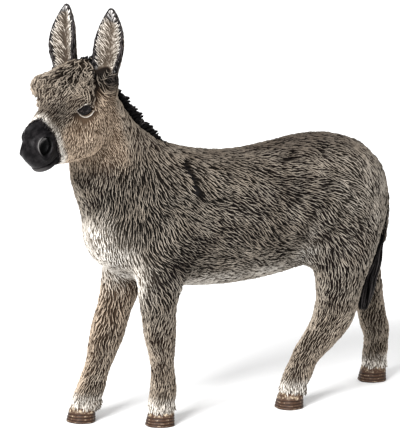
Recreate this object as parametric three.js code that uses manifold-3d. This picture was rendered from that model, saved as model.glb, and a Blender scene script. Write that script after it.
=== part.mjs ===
// A moulded toy donkey of 1:20 scale, standing in mid stride with its head turned to its left.
// Millimetres, +Z up. The nose points to -X and the animal's left side faces -Y.
// The body is a smooth field, blended from oval limbs and muscles. The field is turned into meshes, one for
// each named part, and thin straight cuts part them. Ears, hooves, eyes and mane are made piece by piece.
import * as THREE from 'three';
import { mergeVertices } from 'three/addons/utils/BufferGeometryUtils.js';
import Module from 'manifold-3d';

// ---- Driving dimensions ---------------------------------------------------------------------------------

const GAP = 0.32;                 // width of the thin cut between two neighbouring parts
const FLOOR = -0.7;               // level of the soles in the working frame
const HOOF_HEIGHT = 2.5;          // sole to the hair that hangs over the coronet
const HOOF_LENGTH = 6.9;          // toe to heel at the sole
const HOOF_WIDTH = 6.3;
const EAR_LENGTH = 14.8;
const EAR_WIDTH = 6.4;            // across the widest chord
const EAR_WALL = 0.95;
const EYE_RADIUS = 2.3;
const MANE_HEIGHT = 2.1;          // how far the standing mane rises over the crest
const MANE_THICKNESS = 1.9;

// Cell sizes of the meshes: finer where the forms are smaller.
const CELL = {
  trunk: 3.15, neck: 2.5, crown: 1.4, head: 1.75, muzzle: 1.25, foreleg: 2.1, hindleg: 2.2, tail: 1.25,
  forelock: 1.7,
};

// The head's own frame: x runs down the face from the poll, y to the animal's left, z out of the forehead.
const POLL = [-34.7, -2.7, 74.5];
const HEAD_TURN = 29;             // degrees to the left of straight ahead
const HEAD_NOD = 28;              // degrees of the face line below level
const HEAD_TILT = 4;              // degrees, the right ear higher

// Where each hoof stands, [x, y].
const STANCE = {
  fore_left: [-20.0, -6.5],
  fore_right: [-33.1, 3.4],
  hind_left: [10.1, -5.4],
  hind_right: [36.1, 7.2],
};

// ---- Small tools ----------------------------------------------------------------------------------------

const wasm = await Module();
wasm.setup();
const v3 = (p) => new THREE.Vector3(p[0], p[1], p[2]);
const rad = THREE.MathUtils.degToRad;
const X = v3([1, 0, 0]);
const Y = v3([0, 1, 0]);
const Z = v3([0, 0, 1]);

// The head frame as a matrix: local x down the face, y left, z forehead.
const headFrame = (() => {
  const turned = new THREE.Matrix4().makeRotationZ(Math.PI + rad(HEAD_TURN));
  const nodded = new THREE.Matrix4().makeRotationY(rad(HEAD_NOD));
  const tilted = new THREE.Matrix4().makeRotationX(rad(HEAD_TILT));
  return turned.multiply(nodded).multiply(tilted).setPosition(v3(POLL));
})();
const inHead = (x, y, z) => new THREE.Vector3(x, y, z).applyMatrix4(headFrame);

// ---- Field shapes: functions of a point that are negative inside ----------------------------------------

// The distance to an ellipsoid of radii (a, b, c), near its surface, from a point in its own frame.
function ovalDistance(x, y, z, a, b, c) {
  const k0 = Math.hypot(x / a, y / b, z / c);
  const k1 = Math.hypot(x / (a * a), y / (b * b), z / (c * c));
  return k1 < 1e-9 ? -Math.min(a, b, c) : (k0 * (k0 - 1)) / k1;
}

// An oval muscle with its centre and radii, turned by the matrix `frame`.
function muscle(centre, radii, frame = new THREE.Matrix4()) {
  const local = frame.clone().setPosition(v3(centre)).invert();
  const q = new THREE.Vector3();
  return (p) => {
    q.copy(p).applyMatrix4(local);
    return ovalDistance(q.x, q.y, q.z, radii[0], radii[1], radii[2]);
  };
}

// A limb: an oval tube through stations { at, deep, wide }. `wide` is the half width along `side`, and `deep`
// the half width across it. Its ends are round.
const LIMB_STEPS = 5;             // short pieces between two stations
const FAR = 12;                   // beyond this distance a limb isn't worked out in full

function limb(stations, side = Y) {
  const curve = new THREE.CatmullRomCurve3(stations.map((s) => v3(s.at)), false, 'centripetal');
  const widths = stations.map((s) => v3([s.deep, s.wide, 0]));
  const sizes = new THREE.CatmullRomCurve3(widths, false, 'centripetal');
  const count = (stations.length - 1) * LIMB_STEPS;
  const rings = [];
  for (let i = 0; i <= count; i++) {
    const at = curve.getPoint(i / count);
    const size = sizes.getPoint(i / count);
    const along = curve.getTangent(i / count);
    const across = new THREE.Vector3().crossVectors(along, side).normalize();
    const flank = new THREE.Vector3().crossVectors(across, along);
    rings.push({ at, along, across, flank, deep: size.x, wide: size.y });
  }
  const centre = rings[count >> 1].at;
  const reach = Math.max(...rings.map((r) => r.at.distanceTo(centre) + Math.max(r.deep, r.wide)));
  const v = new THREE.Vector3();
  const step = new THREE.Vector3();
  return (p) => {
    const away = p.distanceTo(centre) - reach;
    if (away > FAR) return away;
    let best = Infinity;
    for (let i = 0; i < count; i++) {
      const a = rings[i];
      const b = rings[i + 1];
      step.subVectors(b.at, a.at);
      v.subVectors(p, a.at);
      const t = THREE.MathUtils.clamp(v.dot(step) / step.lengthSq(), 0, 1);
      v.addScaledVector(step, -t);
      const deep = a.deep + (b.deep - a.deep) * t;
      const wide = a.wide + (b.wide - a.wide) * t;
      const cap = Math.min(deep, wide);
      const d = ovalDistance(v.dot(a.across), v.dot(a.flank), v.dot(a.along), deep, wide, cap);
      if (d < best) best = d;
    }
    return best;
  };
}

// The union of two distances, rounded over the length k.
function blend(a, b, k) {
  const h = Math.max(k - Math.abs(a - b), 0) / k;
  return Math.min(a, b) - (h * h * k) / 4;
}

// ---- The body's forms -----------------------------------------------------------------------------------

const station = (x, y, z, deep, wide) => ({ at: [x, y, z], deep, wide });

const trunkBarrel = limb([
  station(-22.5, 0, 41.2, 11.5, 8.0),    // breast
  station(-16, 0, 40.4, 13.2, 9.6),
  station(-8, 0, 40.0, 13.8, 10.6),      // behind the withers
  station(2, 0, 39.9, 13.6, 11.3),       // belly
  station(11, 0, 41.2, 13.4, 11.2),
  station(18.5, 0, 43.2, 12.2, 10.6),    // loin
  station(23.8, 0, 43.6, 10.4, 9.4),     // croup
  station(26.6, 0, 42.8, 7.4, 7.2),
]);

const neckColumn = limb([
  station(-15, 0, 42.6, 11.4, 8.2),
  station(-24.2, 0, 48.2, 11.3, 6.9),
  station(-29.6, -1.2, 55.6, 8.7, 5.4),
  station(-32.2, -2.4, 62.9, 6.1, 4.6),
  station(-34.0, -3.0, 68.6, 4.3, 4.1),
]);

const breast = muscle([-28.0, 0, 38.8], [5.4, 6.6, 7.0]);
const shoulders = [-1, 1].map((s) => muscle([-18.5, s * 6.6, 41], [6.4, 4.0, 10.5],
  new THREE.Matrix4().makeRotationY(rad(-14))));
const haunches = [-1, 1].map((s) => muscle([23.0, s * 5.6, 42.2], [7.8, 4.8, 10.0],
  new THREE.Matrix4().makeRotationY(rad(-12))));

const legStations = {
  fore_left: [
    station(-19.0, -6.2, 40.0, 6.2, 4.0),
    station(-20.3, -7.4, 31.5, 5.2, 4.0),
    station(-21.2, -7.5, 25.7, 4.0, 3.5),
    station(-20.7, -7.0, 22.0, 3.45, 3.1),
    station(-20.5, -6.8, 18.4, 3.3, 3.0),  // knee
    station(-20.1, -6.6, 15.0, 2.85, 2.7),
    station(-19.8, -6.5, 11.5, 2.45, 2.3), // cannon
    station(-19.6, -6.5, 8.6, 2.6, 2.4),
    station(-19.6, -6.5, 6.3, 2.85, 2.7),  // fetlock
    station(-20.1, -6.5, 4.0, 2.75, 2.7),
    station(-20.1, -6.5, 1.6, 3.2, 3.0),
  ],
  fore_right: [
    station(-20.0, 6.2, 40.0, 6.2, 4.0),
    station(-21.7, 6.6, 30.5, 4.9, 4.0),
    station(-23.3, 6.4, 25.3, 4.0, 3.5),
    station(-25.0, 5.6, 21.4, 3.5, 3.1),
    station(-26.9, 4.6, 17.2, 3.6, 3.1),  // knee
    station(-28.7, 3.8, 12.9, 3.0, 2.7),
    station(-29.9, 3.5, 9.9, 2.7, 2.4),   // cannon
    station(-30.9, 3.4, 6.9, 2.9, 2.6),
    station(-31.6, 3.4, 5.0, 3.0, 2.8),   // fetlock
    station(-32.6, 3.4, 3.4, 2.85, 2.75),
    station(-33.1, 3.4, 1.4, 3.2, 3.0),
  ],
  hind_left: [
    station(23.0, -5.6, 40.0, 7.7, 4.6),
    station(21.8, -7.2, 32.5, 6.6, 4.6),
    station(20.3, -7.4, 26.5, 5.3, 4.2),
    station(20.2, -7.0, 22.0, 4.6, 3.6),
    station(19.6, -6.5, 18.7, 4.5, 3.2),  // gaskin
    station(18.0, -6.0, 15.3, 4.0, 2.8),
    station(16.0, -5.6, 12.7, 3.5, 2.5),  // hock
    station(14.1, -5.4, 10.6, 3.0, 2.4),
    station(12.8, -5.4, 8.5, 2.9, 2.4),
    station(11.9, -5.4, 6.3, 3.0, 2.6),   // fetlock
    station(10.6, -5.4, 4.2, 2.75, 2.6),
    station(10.2, -5.4, 1.5, 3.15, 2.95),
  ],
  hind_right: [
    station(25.0, 5.6, 40.0, 7.7, 4.6),
    station(28.6, 6.8, 32.5, 6.4, 4.6),
    station(31.4, 7.0, 26.5, 5.0, 4.1),
    station(33.7, 6.8, 20.6, 3.7, 3.3),   // gaskin
    station(34.7, 6.6, 16.2, 3.1, 2.8),
    station(35.4, 6.4, 12.8, 3.0, 2.7),
    station(36.4, 6.6, 10.0, 3.2, 2.6),   // hock
    station(36.5, 6.8, 7.2, 2.8, 2.45),
    station(36.3, 7.0, 5.0, 2.9, 2.7),    // fetlock
    station(36.1, 7.1, 3.2, 2.8, 2.7),
    station(36.1, 7.2, 1.4, 3.1, 2.95),
  ],
};
const LEG_BLEND = 3.2;
const legFields = Object.fromEntries(Object.entries(legStations).map(([name, s]) => [name, limb(s)]));

// The trunk with the neck, and without the legs.
function coreField(p) {
  let d = blend(trunkBarrel(p), neckColumn(p), 5);
  d = blend(d, breast(p), 3);
  for (const m of shoulders) d = blend(d, m(p), 2);
  for (const m of haunches) d = blend(d, m(p), 2.5);
  return d;
}

// Everything but the head: each leg blends into the trunk, but never into another leg.
function bodyField(p) {
  const core = coreField(p);
  let d = core;
  for (const name in legFields) d = Math.min(d, blend(core, legFields[name](p), LEG_BLEND));
  return d;
}

// ---- The head's forms, in the head's own frame ----------------------------------------------------------

const skull = limb([
  station(0.6, 0, -4.7, 3.9, 4.3),
  station(3.5, 0, -5.6, 5.6, 5.0),        // forehead
  station(8.0, 0, -6.9, 7.1, 5.0),        // eyes and jaw
  station(12.0, 0, -7.0, 7.0, 4.3),
  station(16.0, 0, -5.9, 5.8, 3.7),
  station(19.0, 0, -5.0, 4.7, 3.5),
  station(21.4, 0, -4.7, 4.2, 3.6),       // muzzle
  station(22.2, 0, -5.0, 3.4, 3.2),
]);
const noseBridge = limb([
  station(5, 0, -2.4, 2.5, 3.9),
  station(11, 0, -2.2, 2.5, 3.9),
  station(16, 0, -2.5, 2.5, 3.5),
  station(19, 0, -2.9, 2.4, 3.2),
]);
const cheeks = [-1, 1].map((s) => muscle([9.0, s * 2.4, -8.9], [5.6, 3.0, 5.4]));
const brows = [-1, 1].map((s) => muscle([8.8, s * 3.2, -2.1], [4.1, 2.7, 2.4]));
const nostrilWings = [-1, 1].map((s) => muscle([21.9, s * 2.4, -3.6], [2.2, 1.65, 2.5]));
const chin = muscle([21.7, 0, -8.1], [2.7, 2.9, 1.8]);

function headShape(q) {
  let d = blend(skull(q), noseBridge(q), 1.2);
  for (const m of cheeks) d = blend(d, m(q), 2);
  for (const m of brows) d = blend(d, m(q), 1.4);
  for (const m of nostrilWings) d = blend(d, m(q), 1.2);
  d = blend(d, chin(q), 1.2);
  return d;
}

const headInverse = headFrame.clone().invert();
const headPoint = new THREE.Vector3();
const headField = (p) => headShape(headPoint.copy(p).applyMatrix4(headInverse));
const headAndNeck = (p) => blend(headField(p), bodyField(p), 1.6);

// The forelock lies on the forehead as a thick curled pad, clear of the head by the cut's width.
const forelockLumps = [
  muscle([1.8, 0, 0.1], [3.4, 3.6, 1.9]),
  muscle([5.6, -1.6, 0.8], [4.0, 3.8, 1.8]),
  muscle([5.6, 2.2, 0.2], [3.4, 2.8, 1.5]),
  muscle([8.8, -1.2, 0.4], [3.6, 3.0, 1.3]),
  muscle([7.8, -5.7, 0.2], [2.9, 2.6, 2.1]),
];
function forelockField(p) {
  const q = headPoint.copy(p).applyMatrix4(headInverse);
  return forelockLumps.reduce((d, lump) => blend(d, lump(q), 1.2), FAR);
}

const tailDock = limb([
  station(30.2, 0, 49.2, 1.5, 1.5),
  station(32.4, 0, 46.4, 1.3, 1.4),
  station(33.7, -0.2, 41.7, 1.3, 1.4),
  station(33.4, -0.7, 36.3, 1.35, 1.4),
  station(32.3, -1.3, 31.3, 1.5, 1.5),
]);
const tailSwitch = limb([
  station(32.2, -1.4, 31.0, 1.6, 1.5),
  station(30.8, -1.8, 27.0, 2.0, 1.8),
  station(29.2, -2.3, 22.4, 1.9, 1.6),
  station(28.1, -2.7, 18.2, 1.2, 1.1),
  station(27.7, -2.8, 16.2, 0.6, 0.6),
]);

// ---- From a field to a closed mesh ----------------------------------------------------------------------

// Surface nets: one vertex in each cell that the surface passes, joined by quads, then moved onto it.
function netMesh(field, low, high, cell) {
  const size = [0, 1, 2].map((i) => Math.ceil((high[i] - low[i]) / cell) + 1);
  const [nx, ny, nz] = size;
  const value = new Float32Array(nx * ny * nz);
  const index = (i, j, k) => (k * ny + j) * nx + i;
  const p = new THREE.Vector3();
  for (let k = 0; k < nz; k++) {
    for (let j = 0; j < ny; j++) {
      for (let i = 0; i < nx; i++) {
        const edge = i === 0 || j === 0 || k === 0 || i === nx - 1 || j === ny - 1 || k === nz - 1;
        p.set(low[0] + i * cell, low[1] + j * cell, low[2] + k * cell);
        const d = field(p);
        value[index(i, j, k)] = edge ? Math.max(d, cell * 0.4) : d;
      }
    }
  }
  const positions = [];
  const vertexOf = new Map();
  const corners = [0, 1].flatMap((c) => [0, 1].flatMap((b) => [0, 1].map((a) => [a, b, c])));
  for (let k = 0; k < nz - 1; k++) {
    for (let j = 0; j < ny - 1; j++) {
      for (let i = 0; i < nx - 1; i++) {
        const inside = corners.map(([a, b, c]) => value[index(i + a, j + b, k + c)] < 0);
        if (inside.every(Boolean) || !inside.some(Boolean)) continue;
        let crossings = 0;
        const sum = [0, 0, 0];
        for (let m = 0; m < 8; m++) {
          for (const bit of [1, 2, 4]) {
            if (m & bit || inside[m] === inside[m | bit]) continue;
            const [a, b, c] = corners[m];
            const [d, e, f] = corners[m | bit];
            const va = value[index(i + a, j + b, k + c)];
            const vb = value[index(i + d, j + e, k + f)];
            const t = va / (va - vb);
            sum[0] += a + (d - a) * t;
            sum[1] += b + (e - b) * t;
            sum[2] += c + (f - c) * t;
            crossings++;
          }
        }
        vertexOf.set(index(i, j, k), positions.length / 3);
        positions.push(...[i, j, k].map((n, axis) => low[axis] + (n + sum[axis] / crossings) * cell));
      }
    }
  }
  const triangles = [];
  const quad = (a, b, c, d, flip) => triangles.push(...(flip ? [a, c, b, a, d, c] : [a, b, c, a, c, d]));
  const stride = [1, nx, nx * ny];
  for (let k = 0; k < nz - 1; k++) {
    for (let j = 0; j < ny - 1; j++) {
      for (let i = 0; i < nx - 1; i++) {
        const here = index(i, j, k);
        const at = [i, j, k];
        for (let axis = 0; axis < 3; axis++) {
          const [next, last] = [(axis + 1) % 3, (axis + 2) % 3];
          const a = value[here] < 0;
          const b = value[here + stride[axis]] < 0;
          if (a === b || at[next] === 0 || at[last] === 0) continue;
          const u = stride[next];
          const w = stride[last];
          const ring = [here - u - w, here - w, here, here - u].map((n) => vertexOf.get(n));
          quad(...ring, !a);
        }
      }
    }
  }
  moveOntoSurface(positions, field, cell);
  const geometry = new THREE.BufferGeometry();
  geometry.setAttribute('position', new THREE.Float32BufferAttribute(positions, 3));
  geometry.setIndex(triangles);
  return geometry;
}

// One small Newton step for each vertex, so that the mesh follows the field and not the grid.
function moveOntoSurface(positions, field, cell) {
  const p = new THREE.Vector3();
  const slope = new THREE.Vector3();
  const h = cell * 0.2;
  const axes = [X, Y, Z];
  for (let i = 0; i < positions.length; i += 3) {
    p.fromArray(positions, i);
    const d = field(p);
    axes.forEach((axis, n) => {
      const ahead = field(p.clone().addScaledVector(axis, h));
      slope.setComponent(n, (ahead - d) / h);
    });
    const move = THREE.MathUtils.clamp(-d / Math.max(slope.lengthSq(), 0.25), -cell * 0.35, cell * 0.35);
    p.addScaledVector(slope, move).toArray(positions, i);
  }
}

// ---- Solids, joins and cuts -----------------------------------------------------------------------------

function solidOf(geometry) {
  const bare = new THREE.BufferGeometry();
  bare.setAttribute('position', geometry.getAttribute('position').clone());
  bare.setIndex(geometry.getIndex());
  const merged = mergeVertices(bare, 1e-4);
  const vertProperties = merged.attributes.position.array;
  const triVerts = new Uint32Array(merged.index.array);
  const solid = new wasm.Manifold(new wasm.Mesh({ numProp: 3, vertProperties, triVerts }));
  if (solid.volume() > 0) return solid;
  return new wasm.Manifold(new wasm.Mesh({ numProp: 3, vertProperties, triVerts: triVerts.reverse() }));
}

function geometryOf(solid) {
  const mesh = solid.getMesh();
  const geometry = new THREE.BufferGeometry();
  geometry.setAttribute('position', new THREE.BufferAttribute(new Float32Array(mesh.vertProperties), 3));
  geometry.setIndex(new THREE.BufferAttribute(new Uint32Array(mesh.triVerts), 1));
  geometry.computeVertexNormals();
  return geometry;
}

// A big block whose one face passes through `point`, with the block on the side that `outward` points to.
const BLOCK = 140;
function halfSpace(point, outward, shift = 0) {
  const normal = v3(outward).normalize();
  const box = new THREE.BoxGeometry(BLOCK, BLOCK, BLOCK);
  box.applyQuaternion(new THREE.Quaternion().setFromUnitVectors(Z, normal));
  const centre = v3(point).addScaledVector(normal, BLOCK / 2 + shift);
  return solidOf(box.translate(centre.x, centre.y, centre.z));
}

// The cuts. Each has a point on the cut and the direction towards the smaller part.
const headWay = (x, y, z) => v3([x, y, z]).transformDirection(headFrame).toArray();
const cuts = {
  neck: { point: [-24.5, 0, 52.0], outward: [-0.62, -0.06, 0.78] },
  head: { point: inHead(1.0, 0, -7.5).toArray(), outward: headWay(0.85, 0, 0.52) },
  jaw: { point: inHead(9, 0, -13.4).toArray(), outward: headWay(0.16, 0, 1) },
  muzzle: { point: inHead(20.3, 0, -5).toArray(), outward: headWay(1, 0, 0.1) },
  coronet: { point: [0, 0, FLOOR + HOOF_HEIGHT], outward: [0, 0, -1] },
  fore_left: { point: [-20, -7, 29.0], outward: [0, -0.65, -1] },
  fore_right: { point: [-21, 7, 29.0], outward: [0, 0.65, -1] },
  hind_left: { point: [21, -7, 31.0], outward: [0.25, -0.65, -1] },
  hind_right: { point: [29, 7, 31.0], outward: [0.25, 0.65, -1] },
  tail: { point: [32.3, 0, 31.0], outward: [-0.15, 0, -1] },
};
const beyond = (name, shift = 0) => halfSpace(cuts[name].point, cuts[name].outward, shift);

// ---- Lofted pieces: closed rings of points, joined in order ---------------------------------------------

function loft(rings, capped = 'fan') {
  const n = rings[0].length;
  const positions = rings.flatMap((ring) => ring.flatMap((p) => p.toArray()));
  const triangles = [];
  for (let r = 0; r < rings.length - 1; r++) {
    for (let i = 0; i < n; i++) {
      const a = r * n + i;
      const b = r * n + ((i + 1) % n);
      triangles.push(a, b, b + n, a, b + n, a + n);
    }
  }
  const lastRing = (rings.length - 1) * n;
  if (capped === 'fan') {
    for (let i = 1; i < n - 1; i++) {
      triangles.push(0, i + 1, i);
      triangles.push(lastRing, lastRing + i, lastRing + i + 1);
    }
  } else { // the ring is a strip's outline: its two long sides are paired
    for (let i = 0; i < n / 2 - 1; i++) {
      const [a, b, c, d] = [i, i + 1, n - 2 - i, n - 1 - i];
      triangles.push(a, c, b, a, d, c);
      triangles.push(lastRing + a, lastRing + b, lastRing + c, lastRing + a, lastRing + c, lastRing + d);
    }
  }
  const geometry = new THREE.BufferGeometry();
  geometry.setAttribute('position', new THREE.Float32BufferAttribute(positions, 3));
  geometry.setIndex(triangles);
  return geometry;
}

// A hoof: round at the toe, flatter at the heel, wider at the sole than at the coronet.
const HOOF_SIDES = 16;
function hoofGeometry([x, y]) {
  const levels = [ // [height, size against the sole, backward shift]
    [0.0, 0.94, 0.0], [0.25, 1.0, 0.0], [1.2, 0.96, 0.12], [HOOF_HEIGHT - GAP, 0.9, 0.3],
  ];
  const rings = levels.map(([z, size, back]) => {
    const ring = [];
    for (let i = 0; i < HOOF_SIDES; i++) {
      const angle = (i / HOOF_SIDES) * 2 * Math.PI;
      const heel = Math.cos(angle) > 0 ? 0.82 : 1;
      const px = (HOOF_LENGTH / 2) * Math.cos(angle) * heel * size;
      const py = (HOOF_WIDTH / 2) * Math.sin(angle) * size;
      ring.push(new THREE.Vector3(x + px + back, y + py, FLOOR + z));
    }
    return ring;
  });
  return loft(rings);
}

// An ear: a leaf of crescent sections that curls round its own length, open to the front.
const EAR_ROWS = 12;
const EAR_POINTS = 7;             // points along one side of a section
const EAR_TIP_WALL = 0.55;
// The ear's chord against its greatest, and half the angle that its section spans in degrees, up its height.
const EAR_FORM = [ // [height share, chord share, degrees]
  [0, 0.58, 95],
  [0.2, 0.82, 84],
  [0.4, 0.97, 72],
  [0.52, 1, 64],
  [0.7, 0.84, 54],
  [0.85, 0.54, 46],
  [0.95, 0.26, 42],
  [1, 0.08, 38],
];
function earForm(t) {
  const next = Math.max(1, EAR_FORM.findIndex(([at]) => at >= t));
  const [a, b] = [EAR_FORM[next - 1], EAR_FORM[next]];
  const share = (t - a[0]) / (b[0] - a[0]);
  return [THREE.MathUtils.lerp(a[1], b[1], share), rad(THREE.MathUtils.lerp(a[2], b[2], share))];
}
function earGeometry(side, earBow, room) {
  const rings = [];
  for (let r = 0; r <= EAR_ROWS; r++) {
    const t = Math.sin((r / EAR_ROWS) * Math.PI / 2);                     // rows close up towards the tip
    const [chord, curl] = earForm(t);
    const width = (EAR_WIDTH / 2) * chord;
    const radius = width / Math.sin(Math.min(curl, Math.PI / 2));
    const wall = THREE.MathUtils.lerp(EAR_WALL, EAR_TIP_WALL, t);
    const bow = side * earBow * Math.sin(Math.PI * t);                    // the ear bows outwards
    const outer = radius + wall / 2 + room;
    const inner = Math.max(radius - wall / 2, 0.12);
    const ring = [];
    for (let i = 0; i < 2 * EAR_POINTS; i++) {
      const onOuter = i < EAR_POINTS;
      const u = (onOuter ? i : 2 * EAR_POINTS - 1 - i) / (EAR_POINTS - 1);
      const angle = (u * 2 - 1) * curl;
      const filled = room > 0 && !onOuter;                                // the room for an ear has no hollow
      const reach = onOuter || filled ? outer : inner;
      const depth = filled ? Math.cos(curl) * reach - 2 * room : Math.cos(angle) * reach;
      ring.push(new THREE.Vector3(radius * 0.7 - depth, Math.sin(angle) * reach + bow, t * EAR_LENGTH));
    }
    rings.push(ring);
  }
  return loft(rings, 'strip');
}

// The ear's frame: its base on the head, then the turn outwards, the lean to the side and the lean back.
const EAR_POSE = {
  left: { base: [0.6, 4.2, -3.1], turn: 2, splay: 9, back: 0, bow: 0.5 },
  right: { base: [1.0, -4.4, -2.9], turn: -5, splay: -5, back: -2, bow: 1.1 },
};
function earSolid(name, room = 0) {
  const side = name === 'left' ? -1 : 1;   // world y of the animal's left is negative
  const pose = EAR_POSE[name];
  const heading = new THREE.Matrix4().makeRotationZ(Math.PI + rad(HEAD_TURN + pose.turn));
  const lean = new THREE.Matrix4().makeRotationX(rad(pose.splay));
  const back = new THREE.Matrix4().makeRotationY(rad(pose.back));
  const base = inHead(...pose.base);
  const frame = lean.multiply(back).multiply(heading).setPosition(base);
  return solidOf(earGeometry(-side, pose.bow, room).applyMatrix4(frame));
}

// An eye: a flattened ball set in the side of the head, looking outwards and a little forward.
const EYE_AT = [10.5, 4.6, -3.1];
const EYE_DEPTH = 1.1;            // half the ball's thickness
const EYE_OPEN = 1.38;            // half its height
const EYE_SLANT = 46;             // degrees from the face line to the line of the eye's two corners
function eyeSolid(name, grow) {
  const side = name === 'left' ? 1 : -1;
  const radii = [EYE_RADIUS, EYE_DEPTH, EYE_OPEN].map((r) => r + grow);
  return ballInHead(radii, [EYE_AT[0], side * EYE_AT[1], EYE_AT[2]], [side * 12, -EYE_SLANT, -side * 10]);
}

// A nostril: the hollow behind the wing of the nose.
const NOSTRIL_AT = [22.7, 3.1, -2.9];
const NOSTRIL_RADII = [1.5, 1.15, 1.8];
function nostrilSolid(side) {
  const place = [NOSTRIL_AT[0], side * NOSTRIL_AT[1], NOSTRIL_AT[2]];
  return ballInHead(NOSTRIL_RADII, place, [side * 14, 10, side * 24]);
}

// A ball of three radii at a place in the head's frame, turned about x, y and z by degrees.
const BALL_SEGMENTS = [12, 6];
function ballInHead(radii, place, turns) {
  const ball = new THREE.SphereGeometry(1, ...BALL_SEGMENTS).scale(...radii);
  const turned = new THREE.Matrix4().makeRotationFromEuler(new THREE.Euler(...turns.map(rad), 'ZXY'));
  return solidOf(ball.applyMatrix4(turned.setPosition(...place)).applyMatrix4(headFrame));
}

// The mane: a standing crest of short tufts along the neck, from the poll to the withers.
const MANE_TUFTS = 13;
const MANE_ROOT = -2.2;           // how deep it starts in the neck, before the neck is cut from it
const MANE_PATH = [               // along the crest
  [-30.6, -2.7, 70.2],
  [-29.0, -2.4, 67.4],
  [-26.4, -1.6, 63.8],
  [-23.6, -0.8, 60.6],
  [-20.2, -0.2, 58.0],
  [-17.0, 0, 55.7],
];
function maneSolid() {
  const path = new THREE.CatmullRomCurve3(MANE_PATH.map(v3));
  const rows = MANE_TUFTS * 2;
  const rings = [];
  for (let i = 0; i <= rows; i++) {
    const t = i / rows;
    const at = path.getPoint(t);
    const up = new THREE.Vector3().crossVectors(path.getTangent(t), Y).normalize();
    if (up.z < 0) up.negate();
    const fade = Math.pow(Math.sin(Math.PI * Math.min(1, t * 0.92 + 0.08)), 0.55);
    const crown = MANE_HEIGHT * fade * (i % 2 ? 1.12 : 0.86) + 0.25;
    const half = (MANE_THICKNESS / 2) * (0.45 + 0.55 * fade);
    const outline = [
      [-half, MANE_ROOT], [-half, crown * 0.45], [-half * 0.5, crown],
      [half * 0.5, crown], [half, crown * 0.45], [half, MANE_ROOT],
    ];
    rings.push(outline.map(([s, h]) => at.clone().addScaledVector(Y, s).addScaledVector(up, h)));
  }
  return solidOf(loft(rings));
}

// ---- Colours --------------------------------------------------------------------------------------------

const paint = (color, roughness) => new THREE.MeshStandardMaterial({ color, roughness, metalness: 0 });
const MATERIALS = {
  coat: paint(0x7d7266, 0.75),
  dark_hair: paint(0x1d1a1a, 0.7),
  muzzle: paint(0x2b292c, 0.6),
  horn: paint(0x6e4f3f, 0.5),
  eye: paint(0x0d0b0c, 0.12),
};

// ---- Assembly -------------------------------------------------------------------------------------------

const group = new THREE.Group();
function add(name, solid, material) {
  const bodies = solid.decompose().sort((a, b) => b.volume() - a.volume());
  const mesh = new THREE.Mesh(geometryOf(bodies[0]), MATERIALS[material]);
  mesh.name = name;
  group.add(mesh);
  return bodies[0];
}
const net = (field, low, high, cell) => solidOf(netMesh(field, low, high, cell));
const around = (point, reach) => [point.map((c, i) => c - reach[i]), point.map((c, i) => c + reach[i])];

// The boxes in which the fields are meshed, [low, high].
const ROOM = {
  trunk: [[-38, -15, 20], [40, 15, 61]],
  neck: [[-48, -15, 40], [-10, 10, 78]],
  crown: [[-52, -16, 50], [-10, 11, 82]],
  head: around(inHead(11, 0, -6).toArray(), [17, 14, 17]),
  muzzle: around(inHead(22, 0, -5.5).toArray(), [8, 8, 9]),
  forelock: around(inHead(5, 0, 0).toArray(), [13, 12, 11]),
  tail: [[28, -4, 26], [40, 4, 55]],
  tail_switch: [[24, -7, 12], [38, 3, 36]],
};
const LEG_ROOM = {
  fore_left: [[-30, -15, 0.5], [-12, 0, 40]],
  fore_right: [[-39, -0.5, 0.5], [-14, 15, 40]],
  hind_left: [[5, -15, 0.5], [32, 0, 42]],
  hind_right: [[20, 0, 0.5], [42, 15, 42]],
};

// Hooves and legs.
function roomBlock(name, grow) {
  const box = new THREE.Box3(v3(LEG_ROOM[name][0]), v3(LEG_ROOM[name][1])).expandByScalar(grow);
  const size = box.getSize(new THREE.Vector3());
  const centre = box.getCenter(new THREE.Vector3());
  return solidOf(new THREE.BoxGeometry(size.x, size.y, size.z).translate(centre.x, centre.y, centre.z));
}
for (const [name, stance] of Object.entries(STANCE)) {
  add('hoof_' + name, solidOf(hoofGeometry(stance)), 'horn');
  const [pair, side] = name.split('_');
  const own = (p) => blend(coreField(p), legFields[name](p), LEG_BLEND);
  const leg = net(own, ...LEG_ROOM[name], CELL[pair + 'leg'])
    .intersect(roomBlock(name, -GAP)).intersect(beyond(name, GAP / 2)).subtract(beyond('coronet'));
  add(pair + '_leg_' + side, leg, 'coat');
}

// The trunk, with room cut for the neck, the legs and the tail.
const tail = net(tailDock, ...ROOM.tail, CELL.tail).subtract(beyond('tail', -GAP / 2));
const tailRoom = net((p) => tailDock(p) - 1.5 * GAP, ...ROOM.tail, CELL.tail);
let trunk = net(bodyField, ...ROOM.trunk, CELL.trunk).subtract(beyond('neck', -GAP / 2));
for (const name of Object.keys(STANCE)) {
  trunk = trunk.subtract(roomBlock(name, 0).intersect(beyond(name, -GAP / 2)));
}
add('trunk', trunk.subtract(tailRoom), 'coat');
add('tail', tail, 'coat');
const tailHair = net(tailSwitch, ...ROOM.tail_switch, CELL.tail);
add('tail_switch', tailHair.intersect(beyond('tail', GAP / 2)), 'dark_hair');

// Neck, head and muzzle.
const headRoom = (shift) => beyond('head', shift).intersect(beyond('jaw', shift));
const neck = net(headAndNeck, ...ROOM.neck, CELL.neck)
  .intersect(beyond('neck', GAP / 2)).subtract(headRoom(-GAP / 2));
add('neck', neck, 'coat');
let head = net(headAndNeck, ...ROOM.head, CELL.head)
  .intersect(headRoom(GAP / 2)).subtract(beyond('muzzle', -GAP / 2));
for (const side of ['left', 'right']) {
  add('eye_' + side, eyeSolid(side, 0), 'eye');
  head = head.subtract(eyeSolid(side, GAP * 0.8));
}
add('head', head, 'coat');
const muzzle = net(headField, ...ROOM.muzzle, CELL.muzzle).intersect(beyond('muzzle', GAP / 2));
add('muzzle', muzzle.subtract(nostrilSolid(1)).subtract(nostrilSolid(-1)), 'muzzle');

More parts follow.
